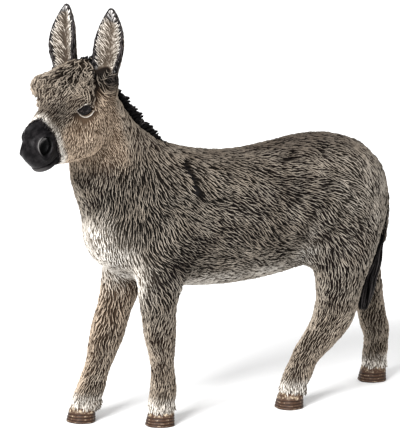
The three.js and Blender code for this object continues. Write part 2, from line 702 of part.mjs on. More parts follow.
// Ears, forelock and mane stand on the head and the crest, clear of them by the cut's width.
const crownRoom = net((p) => headAndNeck(p) - 1.3 * GAP, ...ROOM.crown, CELL.crown);
const ears = ['left', 'right'].map((side) => earSolid(side).subtract(crownRoom));
ears.forEach((ear, i) => add(i ? 'ear_right' : 'ear_left', ear, 'coat'));
const earRoom = ['left', 'right'].map((side) => earSolid(side, GAP));
let forelock = net(forelockField, ...ROOM.forelock, CELL.forelock).subtract(crownRoom);
let mane = maneSolid().subtract(crownRoom);
for (const room of earRoom) {
  forelock = forelock.subtract(room);
  mane = mane.subtract(room);
}
add('forelock', forelock, 'dark_hair');
add('mane', mane, 'dark_hair');

// The origin is the middle of the footprint, at the level of the soles.
const bounds = new THREE.Box3().setFromObject(group);
const middle = bounds.getCenter(new THREE.Vector3());
group.position.set(-middle.x, -middle.y, -bounds.min.z);

export default group;
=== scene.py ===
import math

import bmesh
import bpy
import numpy as np
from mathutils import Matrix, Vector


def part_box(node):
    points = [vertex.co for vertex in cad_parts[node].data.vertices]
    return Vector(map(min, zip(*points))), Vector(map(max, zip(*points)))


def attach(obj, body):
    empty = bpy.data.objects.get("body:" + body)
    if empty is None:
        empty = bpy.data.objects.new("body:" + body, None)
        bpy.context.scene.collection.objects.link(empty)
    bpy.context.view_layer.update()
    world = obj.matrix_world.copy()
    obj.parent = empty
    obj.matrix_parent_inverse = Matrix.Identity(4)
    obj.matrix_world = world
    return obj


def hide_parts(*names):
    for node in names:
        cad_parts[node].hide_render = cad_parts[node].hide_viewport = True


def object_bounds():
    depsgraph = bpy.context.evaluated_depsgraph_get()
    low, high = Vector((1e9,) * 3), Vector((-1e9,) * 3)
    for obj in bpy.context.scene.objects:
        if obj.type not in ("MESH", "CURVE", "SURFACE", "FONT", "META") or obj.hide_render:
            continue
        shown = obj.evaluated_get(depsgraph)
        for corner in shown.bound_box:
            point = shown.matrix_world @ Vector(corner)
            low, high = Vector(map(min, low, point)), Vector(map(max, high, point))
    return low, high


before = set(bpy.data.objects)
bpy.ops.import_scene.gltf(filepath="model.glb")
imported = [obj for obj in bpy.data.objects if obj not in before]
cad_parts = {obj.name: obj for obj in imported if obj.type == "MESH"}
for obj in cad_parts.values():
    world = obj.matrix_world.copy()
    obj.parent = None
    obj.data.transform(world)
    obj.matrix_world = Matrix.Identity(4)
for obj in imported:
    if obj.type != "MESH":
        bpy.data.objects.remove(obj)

import openvdb
from mathutils import Matrix, Vector

cad_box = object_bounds()
MM = 0.001                    # metres

# ---- Studio -------------------------------------------------------------------------------------------
# A white card floor under a big soft light from the upper left, in a bright white room, seen through a
# long lens from a little ahead of the donkey's left side.

CAMERA_AZIMUTH = -26          # degrees, forward of square to the left side
CAMERA_ELEVATION = 12.5
CAMERA_DISTANCE = 1.0
AIM = Vector((-0.99, 1.92, 41.12)) * MM
VIEW_HEIGHT = 87.96 * MM      # what the view's height covers at the aim point
SENSOR = 36.0
CLIP = (0.01, 20)             # metres, the nearest and farthest that the camera shows
FLOOR_WIDTH = 3.0             # metres
ROOM_BRIGHTNESS = 0.85
KEY_PLACE = (-1.75, -1.25, 1.25)  # metres, from the aim point
KEY_SIZE = 1.0                # metres
KEY_POWER = 120.0             # watts


def added(name, data):
    """A new object in the scene that holds some data."""
    obj = bpy.data.objects.new(name, data)
    bpy.context.scene.collection.objects.link(obj)
    return obj


def place_camera():
    azimuth = math.radians(CAMERA_AZIMUTH)
    rise = math.radians(CAMERA_ELEVATION)
    back = Vector((math.sin(azimuth) * math.cos(rise), -math.cos(azimuth) * math.cos(rise), math.sin(rise)))
    data = bpy.data.cameras.new("camera")
    data.sensor_width = SENSOR
    data.lens = SENSOR * CAMERA_DISTANCE / VIEW_HEIGHT
    data.clip_start, data.clip_end = CLIP
    camera = added("camera", data)
    camera.location = AIM + back * CAMERA_DISTANCE
    camera.rotation_euler = back.to_track_quat("Z", "Y").to_euler()
    bpy.context.scene.camera = camera


def soft_light(name, place, size, power):
    """A square area light that shines at the aim point. Place and size are in metres."""
    data = bpy.data.lights.new(name, "AREA")
    data.shape, data.size, data.energy = "SQUARE", size, power
    light = added(name, data)
    light.location = AIM + Vector(place)
    light.rotation_euler = Vector(place).to_track_quat("Z", "Y").to_euler()


def principled(name):
    """A new material with its nodes, and its Principled shader."""
    material = bpy.data.materials.new(name)
    material.use_nodes = True
    return material, material.node_tree, material.node_tree.nodes["Principled BSDF"]


def white_room(brightness):
    world = bpy.data.worlds.new("white room")
    world.use_nodes = True
    world.node_tree.nodes["Background"].inputs["Color"].default_value = (1, 1, 1, 1)
    world.node_tree.nodes["Background"].inputs["Strength"].default_value = brightness
    bpy.context.scene.world = world
    bpy.context.scene.view_settings.view_transform = "Standard"


def white_sweep(width):
    """The floor is white card, level under the donkey."""
    half = width / 2
    mesh = bpy.data.meshes.new("floor")
    corners = [(-half, -half, 0), (half, -half, 0), (half, half, 0), (-half, half, 0)]
    mesh.from_pydata(corners, [], [(0, 1, 2, 3)])
    floor = added("floor", mesh)
    material, _, shader = principled("white card")
    shader.inputs["Base Color"].default_value = (0.95, 0.95, 0.95, 1)
    shader.inputs["Roughness"].default_value = 0.6
    mesh.materials.append(material)


place_camera()
white_room(ROOM_BRIGHTNESS)
white_sweep(FLOOR_WIDTH)
soft_light("key", KEY_PLACE, KEY_SIZE, KEY_POWER)

# ---- The moulded body ---------------------------------------------------------------------------------
# Trunk, neck, head, legs, tail and ears are one moulding of plastic. The ground of its sculpted hair is
# one skin, a little inside the solids, that runs on without a seam from the muzzle to the tail.

PITCH = 0.25                  # mm, of the grid that the skin is worked out on
BAND = 8                      # cells either side of a surface in which distances are known
PAD = 3.0                     # mm of free grid round the figure
CUT_CLOSING = 0.3             # mm, how far the parts swell to close the cuts between them
LEG_END = 2.3                 # mm, where the legs stop, inside the tops of the hooves
LEGS = ["fore_leg_left", "fore_leg_right", "hind_leg_left", "hind_leg_right"]
HOOVES = ["hoof_fore_left", "hoof_fore_right", "hoof_hind_left", "hoof_hind_right"]
EARS = ["ear_left", "ear_right"]
EYES = ["eye_left", "eye_right"]
FLESH = ["trunk", "neck", "head", "muzzle", "tail", *LEGS, *EARS]

grid_low = np.array(cad_box[0]) / MM - PAD
grid_shape = tuple(np.ceil((np.array(cad_box[1]) / MM + PAD - grid_low) / PITCH).astype(int))


def node_shape(name):
    """A CAD node's corners, in mm, and its triangles."""
    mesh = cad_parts[name].data
    corners = np.empty(len(mesh.vertices) * 3, np.float32)
    mesh.vertices.foreach_get("co", corners)
    order = np.empty(len(mesh.loops), np.int32)
    mesh.loops.foreach_get("vertex_index", order)
    return corners.reshape(-1, 3) / MM, order.reshape(-1, 3)


def distances(corners, **faces):
    """Signed distance to a closed mesh, in mm, at each cell of the grid."""
    level_set = openvdb.FloatGrid.createLevelSetFromPolygons(
        (corners - grid_low) / PITCH, **faces,
        transform=openvdb.createLinearTransform(1.0), halfWidth=BAND)
    field = np.empty(grid_shape, np.float32)
    level_set.copyToArray(field)
    return field * PITCH


def surface(field):
    """The mesh where a field is zero: its corners in mm, and its quads."""
    grid = openvdb.FloatGrid(BAND * PITCH)
    grid.copyFromArray(field)
    corners, quads = grid.convertToQuads(0.0)
    return corners * PITCH + grid_low, quads


def closed_field(*names):
    """Signed distance to some CAD nodes with the cuts between them closed."""
    union = np.full(grid_shape, BAND * PITCH, np.float32)
    for name in names:
        corners, triangles = node_shape(name)
        np.minimum(union, distances(corners, triangles=triangles), out=union)
    corners, quads = surface(union - CUT_CLOSING)
    return distances(corners, quads=quads) + CUT_CLOSING


def soften(field, passes):
    """Averages each cell with its neighbours along every axis, again and again."""
    for _ in range(passes):
        for axis in range(3):
            f = np.moveaxis(field, axis, 0)
            f[1:-1] = 0.25 * (f[:-2] + f[2:]) + 0.5 * f[1:-1]
    return field


def blend(first, second, rounding):
    """The union of two distances, rounded over a length in mm."""
    share = np.maximum(rounding - np.abs(first - second), 0) / rounding
    return np.minimum(first, second) - share * share * rounding / 4


# ---- The head's own axes ------------------------------------------------------------------------------
# The head is turned to the left and nods. Its x runs down the face, y to the animal's left and z out of
# the forehead, from the poll, and the eyes fix where that is.

HEAD_NOD = 28.0               # degrees, of the face's line below level
EYE_FORWARD = 10.5            # mm, from the poll down the face
EYE_BELOW = 3.1               # mm, below the forehead's line


def middle(node):
    low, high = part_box(node)
    return (np.array(low) + np.array(high)) / 2 / MM


def head_axes():
    """The head's axes as the columns of a matrix, and the poll's place."""
    eyes = [middle(name) for name in EYES]
    left = eyes[0] - eyes[1]
    left /= np.linalg.norm(left)
    level = np.cross(left, (0, 0, 1))
    level /= np.linalg.norm(level)
    rise = np.cross(level, left)
    drop = -math.sin(math.radians(HEAD_NOD)) / rise[2]
    down_face = math.sqrt(1 - drop ** 2) * level + drop * rise
    axes = np.stack([down_face, left, np.cross(down_face, left)], axis=1)
    poll = (eyes[0] + eyes[1]) / 2 - axes @ (EYE_FORWARD, 0, -EYE_BELOW)
    return axes, poll


head_turn, poll = head_axes()


def in_head(points):
    return (points - poll) @ head_turn


def from_head(points):
    return np.asarray(points) @ head_turn.T + poll


def step(low, high, values):
    """0 below low, 1 above high, smooth between them; high may be the lower one."""
    t = np.clip((values - low) / (high - low), 0, 1)
    return t * t * (3 - 2 * t)


def bell(values, width):
    return np.exp(-(values / width) ** 2)


# ---- Skin: one closed surface -------------------------------------------------------------------------
# The body's nodes are joined, the cuts between them closed and the whole softened, then ears and tail
# are let in with rounded roots. It lies under the tops of the hair, deepest where the hair is longest.

BODY_INSET = 0.3              # mm, from the CAD surface to the skin on trunk, neck and upper legs
FACE_INSET = 0.1
TAIL_INSET = 0.15
EAR_GROWTH = 0.08             # mm, that keeps the thin rims of the ears whole
ROOT_ROUNDING = 1.2           # mm, where ears and tail run into the body
EAR_ROOT = (1.9, 2.6)         # mm, radius and depth of the flesh that carries an ear
EAR_FOOT_BAND = 2.2           # mm, the height at its foot over which an ear's middle is taken
EAR_ROOT_START = 0.3          # mm, from that middle down to the flesh
PAD_ROUNDING = 2.0            # mm, where that flesh and the forelock's pad run into the head
SOFTENING = {"body": 14, "ears": 1, "tail": 3, "forelock": 5}  # passes over the grid
FACE_RUN = (0.0, 9.0)         # mm down the face, over which the skin rises to the face's inset
FACE_FLOOR = 50               # mm above the floor, under which nothing is face


def grid_axes():
    """The grid's x, y and z in mm, each shaped to spread over the grid."""
    shapes = [(-1, 1, 1), (1, -1, 1), (1, 1, -1)]
    return [(grid_low[i] + PITCH * np.arange(grid_shape[i], dtype=np.float32)).astype(np.float32).reshape(s)
            for i, s in enumerate(shapes)]


def ear_root(ear, axes):
    """Distance to a round-ended peg that runs from an ear's foot down into the head."""
    corners, _ = node_shape(ear)
    tip = corners[corners[:, 2].argmax()]
    foot = corners[corners[:, 2] < corners[:, 2].min() + EAR_FOOT_BAND].mean(axis=0)
    down = (foot - tip) / np.linalg.norm(foot - tip)
    radius, depth = EAR_ROOT
    start = foot + EAR_ROOT_START * down
    rel = [axes[i] - np.float32(start[i]) for i in range(3)]
    t = np.clip(sum(rel[i] * np.float32(down[i]) for i in range(3)), 0, depth)
    return np.sqrt(sum((rel[i] - t * np.float32(down[i])) ** 2 for i in range(3))) - np.float32(radius)


axes = grid_axes()
body_nodes = ["trunk", "neck", "head", "muzzle", *LEGS, *HOOVES, *EYES]
body = soften(closed_field(*body_nodes), SOFTENING["body"])
ears = soften(closed_field(*EARS), SOFTENING["ears"])
tail = soften(closed_field("tail"), SOFTENING["tail"])
forelock = soften(closed_field("forelock"), SOFTENING["forelock"])
down_face = sum((axes[i] - np.float32(poll[i])) * np.float32(head_turn[i, 0]) for i in range(3))
face = step(*FACE_RUN, down_face) * (axes[2] > FACE_FLOOR)
skin = body + BODY_INSET + (FACE_INSET - BODY_INSET) * face.astype(np.float32)
for ear in EARS:
    skin = blend(skin, ear_root(ear, axes), PAD_ROUNDING)
skin = blend(skin, forelock + BODY_INSET, PAD_ROUNDING)
skin = blend(skin, np.minimum(ears - EAR_GROWTH, tail + TAIL_INSET), ROOT_ROUNDING)
skin = np.maximum(skin, LEG_END - axes[2]).astype(np.float32)


def sample(field, points):
    """A field's values at points in mm."""
    place = (points - grid_low) / PITCH
    cell = np.clip(place.astype(int), 0, np.array(grid_shape) - 2)
    part = np.clip(place - cell, 0, 1)
    total = np.zeros(len(points))
    for corner in np.ndindex(2, 2, 2):
        share = np.prod(np.where(corner, part, 1 - part), axis=1)
        at = cell + corner
        total += share * field[at[:, 0], at[:, 1], at[:, 2]]
    return total


def outward(points, field=skin):
    """Unit vectors that point out of a field's surface."""
    reach = np.eye(3) * PITCH
    slope = np.stack([sample(field, points + r) - sample(field, points - r) for r in reach], axis=1)
    return slope / np.maximum(np.linalg.norm(slope, axis=1, keepdims=True), 1e-9)


def settle(points, field=skin):
    """Points moved onto a field's surface."""
    for _ in range(2):
        points = points - outward(points, field) * sample(field, points)[:, None]
    return points


# ---- The ears' own axes -------------------------------------------------------------------------------
# Each ear is a leaf that curls round its own length and opens forwards. Its x points out of the opening,
# y to the animal's left and z up to the tip.

EAR_LENGTH = 14.8
EAR_HALF_WIDTH = 3.2
EAR_CHORD = ([0, 0.2, 0.4, 0.52, 0.7, 0.85, 0.95, 1], [0.58, 0.82, 0.97, 1, 0.84, 0.54, 0.26, 0.08])
EAR_CURL = (95, 38)           # degrees either side of the middle, at the foot and at the tip
EAR_OPENING = 0.9             # power of the height by which the curl opens
EAR_SET = 0.7                 # of the curl's radius, that its middle lies ahead of the ear's own line
EAR_REACH = 2.4               # mm either side of its middle layer that belong to an ear
EAR_FEET = (70.5, 72.5)       # mm above the floor, over which head becomes ear
EAR_POSES = {                 # foot in the head's axes; turn, splay and lean in degrees; bow in mm
    "ear_left": ((0.6, 4.2, -3.1), (2, 9, 0), 0.5),
    "ear_right": ((1.0, -4.4, -2.9), (-5, -5, -2), -1.1),
}


def ear_axes(name):
    foot, (turn, splay, lean), _ = EAR_POSES[name]
    heading = math.atan2(head_turn[1, 0], head_turn[0, 0]) + math.radians(turn)
    axes = (Matrix.Rotation(math.radians(splay), 3, "X") @ Matrix.Rotation(math.radians(lean), 3, "Y")
            @ Matrix.Rotation(heading, 3, "Z"))
    return np.array(axes), from_head(foot)


ear_frames = {name: ear_axes(name) for name in EARS}


def ear_curl(height):
    return np.radians(EAR_CURL[0] + (EAR_CURL[1] - EAR_CURL[0]) * height ** EAR_OPENING)


def ear_place(points, name):
    """Height up an ear, 0 to 1, angle round its curl, -1 to 1, and depth outside its middle layer in mm."""
    turned, foot = ear_frames[name]
    local = (points - foot) @ turned
    height = np.clip(local[:, 2] / EAR_LENGTH, 0, 1)
    curl = ear_curl(height)
    radius = EAR_HALF_WIDTH * np.interp(height, *EAR_CHORD) / np.sin(np.minimum(curl, math.pi / 2))
    behind = radius * EAR_SET - local[:, 0]
    aside = local[:, 1] - EAR_POSES[name][2] * np.sin(math.pi * height)
    return height, np.arctan2(aside, behind) / curl, np.hypot(behind, aside) - radius


def ear_share(points):
    """1 on the ears, 0 on the head."""
    return step(0.55, 0.3, sample(ears, points)) * step(*EAR_FEET, points[:, 2])


# ---- Where the features of the face lie ---------------------------------------------------------------
# Ovals and lines on the side of the head, in the head's axes, for the left side; the right one mirrors it.

EYE = (10.1, 4.6, -3.55)      # mm, middle of the opening in the head's axes, on the left
EYE_HALF = (2.3, 1.2)         # mm, half length and half height of the opening
EYE_TILT = 34.0               # degrees, of the opening's line above the face's line
LID_RIM = 0.2                 # mm, from the opening's edge to the top of the rim round it
NOSTRILS = [                  # middle, direction along and direction out, in the head's axes
    ((22.0, 2.75, -3.6), (0.79, -0.07, -0.6), (0.55, 0.7, 0.45)),
    ((22.4, -1.95, -2.5), (0.79, 0.07, -0.6), (0.5, -0.62, 0.6)),
]
NOSTRIL_HALF = (2.15, 1.4, 2.2)  # mm, half its length, width and depth
NOSTRIL_BEND = 0.3            # how far its middle line bows, in half widths
MOUTH_LEVEL = -7.8            # mm, in the head's axes
CHEEK_EDGE = [  # mm, down the face and out of the forehead
    (6.2, -8.0), (7.2, -11.2), (8.9, -14.0), (10.6, -15.6), (14.0, -15.4), (17.0, -12.0),
]


def in_oval(local, centre, half, tilt):
    """Place along and across an oval on the side of the head, in half lengths."""
    a = math.radians(tilt)
    dx, dz = local[:, 0] - centre[0], local[:, 2] - centre[2]
    return (dx * math.cos(a) + dz * math.sin(a)) / half[0], (dz * math.cos(a) - dx * math.sin(a)) / half[1]


def off_path(points, path):
    """Distance from a path of straight runs, flat or in space."""
    best = np.full(len(points), 99.0)
    for start, end in zip(path, path[1:]):
        run = np.subtract(end, start)
        rel = points - start
        share = np.clip(rel @ run / (run @ run), 0, 1)
        best = np.minimum(best, np.linalg.norm(rel - share[:, None] * run, axis=1))
    return best


def lid_gap(local):
    """How far outside the eye's opening a point lies, in mm, and its place along the opening."""
    along, across = in_oval(local, EYE, EYE_HALF, EYE_TILT)
    edge = np.clip(1 - along ** 2, 0, 1)
    beyond = np.maximum(np.abs(along) - 1, 0) * EYE_HALF[0]
    return np.where(np.abs(along) < 1, (np.abs(across) - edge) * EYE_HALF[1] * 0.8,
                    np.hypot(beyond, across * EYE_HALF[1])), along, across


def nostril_gap(local):
    """1 on the nearer nostril's edge, less inside it."""
    gaps = []
    for centre, along, out in NOSTRILS:
        along, out = np.array(along), np.array(out)
        across = np.cross(out, along) * np.sign(out[1])
        rel = local - centre
        u, v, w = (rel @ (axis / np.linalg.norm(axis)) / half
                   for axis, half in zip((along, across, out), NOSTRIL_HALF))
        gaps.append(np.sqrt(u ** 2 + (v - NOSTRIL_BEND * u ** 2) ** 2 + w ** 2))
    return np.minimum(*gaps)


# ---- Markings -----------------------------------------------------------------------------------------
# Painted zones that skin and hair share: pale breast, belly and fetlocks, warm cheeks, the ears, and
# painted shade that darkens hollows, the lower tail, the folds behind the shoulders, the tail's root, the
# nostrils and the ear cups, with a painted highlight on the nostrils' rims. Each zone is a soft blob in
# the figure's frame, in mm, or a rule in the head's own axes.

PALE = [  # place, reach, strength
    ((-25.6, -1.0, 39.0), (3.0, 7.0, 3.8), 1.4),
    ((-22.8, -2.5, 34.8), (4.0, 8.0, 3.8), 1.5),
    ((-18.6, -4.5, 31.0), (2.4, 5.0, 3.6), 1.2),
    ((32.0, -8.0, 44.0), (8.0, 6.0, 9.0), 0.14),
    ((-2.0, 0.0, 29.3), (9.0, 6.0, 1.9), 0.9),
    ((10.0, 0.0, 30.5), (6.5, 6.0, 2.0), 0.9),
    ((19.0, -3.0, 33.5), (3.0, 6.0, 2.6), 0.9),
    ((19.8, -6.0, 37.5), (1.3, 5.0, 3.2), 0.3),
]
# Darker zones: those in the body's hollows and the one over the lower tail are painted shade.
DARK = [
    ((-15.0, -4.0, 52.0), (7.0, 6.0, 7.0), 0.45),
    ((13.5, -7.2, 48.5), (5.5, 3.0, 3.2), 0.45),
    ((-10.2, -8.8, 33.5), (1.8, 3.0, 1.4), 0.6),
    ((-5.0, 0.0, 54.5), (6.0, 3.0, 1.6), 0.4),
    ((4.0, 0.0, 55.5), (9.0, 7.0, 3.4), 0.85),
    ((16.0, 0.0, 58.0), (26.0, 9.0, 7.0), 1.1),
    # painted shade over the lower tail
    ((39.5, 0.0, 33.5), (4.0, 3.0, 5.0), 0.85),
]
# A fold behind each shoulder, painted black as painted shade.
CREASE = [(-6.8, -3.0, 53.8), (-6.4, -5.6, 50.9), (-6.0, -7.3, 47.6)]  # behind the left shoulder
CREASE_WIDTH = 0.6            # mm, over which it fades to either side
MIDDLE = 1.9                  # mm, y of the trunk's middle, which mirrors it
FETLOCK = (4.6, 7.0)          # mm above the floor, from all pale to none
MUZZLE_EDGE = 17.6            # mm down the face, where the bare muzzle starts on its top
MUZZLE_SLANT = 0.42           # mm further down per mm to either side


def blobs(points, zones):
    """The strongest of some soft zones, mirrored to both sides, at each point."""
    best = np.zeros(len(points))
    for place, reach, strength in zones:
        for side in (1, -1):
            gap = (points - np.array(place) * (1, side, 1)) / reach
            best = np.maximum(best, strength * np.exp(-(gap ** 2).sum(axis=1)))
    return best


def crease_share(points):
    """1 in the fold behind each shoulder, which is painted black as painted shade."""
    folded = points * (1, 0, 1) + np.stack([0, 1, 0]) * (MIDDLE - np.abs(points[:, 1:2] - MIDDLE))
    return bell(off_path(folded, CREASE), CREASE_WIDTH)


def muzzle_line(local):
    """How far beyond the muzzle's edge a point lies, in mm, in the head's axes."""
    past = local[:, 0] - MUZZLE_EDGE - MUZZLE_SLANT * np.abs(local[:, 1])
    return past + 0.05 * np.minimum(local[:, 2] + 3, 0)


def head_share(points):
    """1 on the head, 0 on the neck and everything behind it."""
    local = in_head(points)
    return step(-1.5, 2.5, local[:, 0] + 0.28 * (local[:, 2] + 6)) * step(51, 58, points[:, 2])


def ear_foot(points):
    """Darkness round the feet of the ears."""
    gaps = [np.linalg.norm((points - foot) / (3.5, 3.5, 3.0), axis=1) for _, foot in ear_frames.values()]
    return 0.8 * np.exp(-np.minimum(*gaps) ** 4)


def ear_markings(points):
    """Cream inside, grey-brown outside, with black rims and tips."""
    marks = np.zeros((len(points), 4))
    for name in EARS:
        height, around, depth = ear_place(points, name)
        near = np.abs(depth) < EAR_REACH
        inner = step(0.1, -0.15, depth)
        tip = step(0.8, 0.87, height - 0.08 * (name == "ear_right"))
        rim = step(0.9, 0.97, np.abs(around))
        black = np.maximum.reduce([tip, rim * step(0.08, 0.2, height), 0.6 * step(0.16, 0.04, height)])
        dark = np.maximum(step(0.22, 0.1, height), 0.35 * step(0.5, 1.0, height) * (1 - inner))
        # Painted shade in the ear's cup, deeper on the right ear.
        cup_shade = inner * bell(around + 0.25, 0.5)
        dark = np.maximum(dark, (0.3 + 0.25 * (name == "ear_right")) * cup_shade)
        own = np.stack([inner * (0.92 - 0.35 * cup_shade) * (1 - dark), dark, 0.6 * inner + 0.1, black], axis=1)
        marks[near] = own[near]
    return marks


def markings(points):
    """Shares of pale, dark, warm and black at each point, as four columns."""
    local = in_head(points)
    head = head_share(points)
    ridge = muzzle_line(local)
    # Black on the muzzle, and black as painted shade in the folds behind the shoulders.
    black = np.maximum(head * step(-0.15, 0.25, ridge), crease_share(points))
    ring = head * step(-2.2, -0.7, ridge) * (1 - black)
    gap, _, _ = lid_gap(local)
    lid = head * bell(gap - 0.14, 0.13) * step(3.0, 3.8, np.abs(local[:, 1]))
    around = nostril_gap(local)
    # Painted shade inside the nostrils, darker than the muzzle's black.
    nostril = head * step(1.0, 0.85, around)
    # A painted highlight on the inner rim of each nostril.
    nostril_rim_highlight = 0.55 * head * bell(around - 1.08, 0.06) * step(2.9, 2.2, np.abs(local[:, 1]))
    # Painted shade round and under the tail's root, where tail and rump meet.
    crease = 0.7 * bell(sample(tail, points) - 0.7, 0.45) * (1 - head) * step(44, 40, points[:, 2])
    fetlock = step(FETLOCK[1], FETLOCK[0], points[:, 2])
    pale = np.maximum.reduce([blobs(points, PALE) * (1 - head), 0.95 * ring, 0.95 * lid, nostril_rim_highlight,
                              0.95 * fetlock])
    brow = head * bell(local[:, 0] - 6.5, 4.5) * bell(local[:, 1], 4.5) * step(-5.0, -1.0, local[:, 2])
    bridge = head * bell(local[:, 0] - 14.5, 2.6) * step(-3.5, -1.0, local[:, 2])
    dark = np.maximum.reduce([blobs(points, DARK) * (1 - head), 0.5 * brow, 0.5 * bridge, ear_foot(points),
                              nostril, crease])
    cheek = head * step(-2.0, -5.0, local[:, 2])
    throat = step(46, 60, points[:, 2])
    shin = step(30, 12, points[:, 2])
    far_foreleg = step(2, 5, points[:, 1]) * step(-10, -16, points[:, 0]) * step(34, 26, points[:, 2])
    warm = np.maximum.reduce([cheek, 0.25 * throat, 0.25 * shin, 0.6 * far_foreleg]) * (1 - dark)
    marks = np.stack([pale, dark, warm, black], axis=1)
    share = ear_share(points)[:, None]
    return (marks * (1 - share) + ear_markings(points) * share).clip(0, 1)


# ---- Paint --------------------------------------------------------------------------------------------
# The figure is sprayed in a base colour, washed with dark paint that stays in the grooves and dry-brushed
# with pale paint that catches the crests. The dark in the grooves, at the sides and roots of the locks and
# on the skin between them is that wash and painted shade in one colour. Skin and hair read the same
# attributes: "mark" holds the shares of pale, dark, warm and black, "lock" how near the crest a point is,
# how far along, and the lock's tone.


def srgb(red, green, blue):
    """A colour given as 0 to 255 values, as the shader's linear one."""
    def linear(v):
        v /= 255
        return v / 12.92 if v <= 0.04045 else ((v + 0.055) / 1.055) ** 2.4
    return (linear(red), linear(green), linear(blue), 1.0)


CREST = {"coat": srgb(158, 149, 137), "pale": srgb(244, 240, 233), "dark": srgb(82, 73, 65),
         "warm": srgb(212, 192, 170), "black": srgb(70, 66, 66)}
# Colours in the grooves: the dark wash and painted shade in one.
GROOVE = {"coat": srgb(16, 13, 11), "pale": srgb(92, 84, 74), "dark": srgb(10, 8, 7),
          "warm": srgb(78, 63, 50), "black": srgb(7, 6, 6)}


def value_into(tree, socket, value):
    if isinstance(value, bpy.types.NodeSocket):
        tree.links.new(value, socket)
    else:
        socket.default_value = value


def maths(tree, operation, a, b=0.0, clamp=False):
    node = tree.nodes.new("ShaderNodeMath")
    node.operation, node.use_clamp = operation, clamp
    value_into(tree, node.inputs[0], a)
    value_into(tree, node.inputs[1], b)
    return node.outputs[0]


def mixed(tree, share, a, b, blend_type="MIX"):
    """Colour a, turned towards b by a share."""
    node = tree.nodes.new("ShaderNodeMix")
    node.data_type, node.blend_type = "RGBA", blend_type
    value_into(tree, node.inputs["Factor"], share)
    value_into(tree, node.inputs[6], a)
    value_into(tree, node.inputs[7], b)
    return node.outputs[2]


def attribute(tree, name):
    """The red, green, blue and alpha of a mesh attribute, as sockets."""
    node = tree.nodes.new("ShaderNodeAttribute")
    node.attribute_name = name
    parts = tree.nodes.new("ShaderNodeSeparateColor")
    tree.links.new(node.outputs["Color"], parts.inputs[0])
    return [*parts.outputs, node.outputs["Alpha"]]


def noise(tree, scale, detail=2.0, roughness=0.5):
    """Noise fixed to the object, whose scale is in spots per metre."""
    place = tree.nodes.new("ShaderNodeTexCoord")
    node = tree.nodes.new("ShaderNodeTexNoise")
    tree.links.new(place.outputs["Object"], node.inputs["Vector"])
    node.inputs["Scale"].default_value = scale
    node.inputs["Detail"].default_value = detail
    node.inputs["Roughness"].default_value = roughness
    return node.outputs["Fac"]


def ramp(tree, value, low, high):
    """0 below low, 1 above high."""
    node = tree.nodes.new("ShaderNodeMapRange")
    node.interpolation_type = "SMOOTHSTEP"
    value_into(tree, node.inputs["Value"], value)
    node.inputs["From Min"].default_value, node.inputs["From Max"].default_value = low, high
    return node.outputs["Result"]


def new_group(name, inputs, outputs):
    """A shader node group with float inputs given as {name: default} and outputs as {name: socket type}."""
    tree = bpy.data.node_groups.new(name, "ShaderNodeTree")
    for label, default in inputs.items():
        socket = tree.interface.new_socket(label, in_out="INPUT", socket_type="NodeSocketFloat")
        socket.default_value = default
    for label, kind in outputs.items():
        tree.interface.new_socket(label, in_out="OUTPUT", socket_type=kind)
    return tree, tree.nodes.new("NodeGroupInput").outputs, tree.nodes.new("NodeGroupOutput").inputs


def painted_hair():
    """Wash and painted shade, and dry-brush, as a colour; and how rough and how high the paint stands."""
    tree, given, result = new_group("painted hair", {"Crest": 0.5, "Tone": 0.5},
                                    {"Color": "NodeSocketColor", "Roughness": "NodeSocketFloat",
                                     "Height": "NodeSocketFloat"})
    pale, dark, warm, black = attribute(tree, "mark")
    crest, groove = CREST["coat"], GROOVE["coat"]
    for share, kind in ((warm, "warm"), (dark, "dark"), (pale, "pale"), (black, "black")):
        crest = mixed(tree, share, crest, CREST[kind])
        groove = mixed(tree, share, groove, GROOVE[kind])
    patches = noise(tree, 260, 3)
    speckle = noise(tree, 2600, 2)
    lift = maths(tree, "MULTIPLY", maths(tree, "SUBTRACT", given["Tone"], 0.5), 0.45)
    level = maths(tree, "ADD", maths(tree, "ADD", given["Crest"], lift),
                  maths(tree, "MULTIPLY", maths(tree, "SUBTRACT", speckle, 0.5), 0.5))
    share = ramp(tree, level, 0.45, 0.97)
    colour = mixed(tree, share, groove, crest)
    shade = mixed(tree, ramp(tree, patches, 0.3, 0.75), srgb(206, 200, 194), srgb(255, 255, 255))
    colour = mixed(tree, 0.7, colour, mixed(tree, 1.0, colour, shade, "MULTIPLY"))
    value_into(tree, result["Color"], colour)
    value_into(tree, result["Roughness"], maths(tree, "SUBTRACT", 0.72, maths(tree, "MULTIPLY", share, 0.14)))
    value_into(tree, result["Height"], speckle)
    return tree


hair_paint = painted_hair()


def use_group(tree, group):
    node = tree.nodes.new("ShaderNodeGroup")
    node.node_tree = group
    return node


def bumped(tree, shader, height, depth):
    """Bump from a height of 0 to 1, depth in mm."""
    bump = tree.nodes.new("ShaderNodeBump")
    bump.inputs["Strength"].default_value = 1.0
    bump.inputs["Distance"].default_value = depth * MM
    tree.links.new(height, bump.inputs["Height"])
    tree.links.new(bump.outputs["Normal"], shader.inputs["Normal"])


# ---- Mesh making --------------------------------------------------------------------------------------
# Every piece is plain closed mesh at the origin, with its corners worked out in mm. The paint reads what
# is stored at the corners.


def mesh_object(name, corners, faces):
    """A mesh object from corners in mm and faces that all have the same number of corners."""
    mesh = bpy.data.meshes.new(name)
    sides = faces.shape[1]
    mesh.vertices.add(len(corners))
    mesh.vertices.foreach_set("co", (np.asarray(corners) * MM).astype(np.float32).ravel())
    mesh.loops.add(faces.size)
    mesh.loops.foreach_set("vertex_index", faces.astype(np.int32).ravel())
    mesh.polygons.add(len(faces))
    mesh.polygons.foreach_set("loop_start", np.arange(0, faces.size, sides, dtype=np.int32))
    mesh.update(calc_edges=True)
    mesh.polygons.foreach_set("use_smooth", np.full(len(faces), True))
    return added(name, mesh)


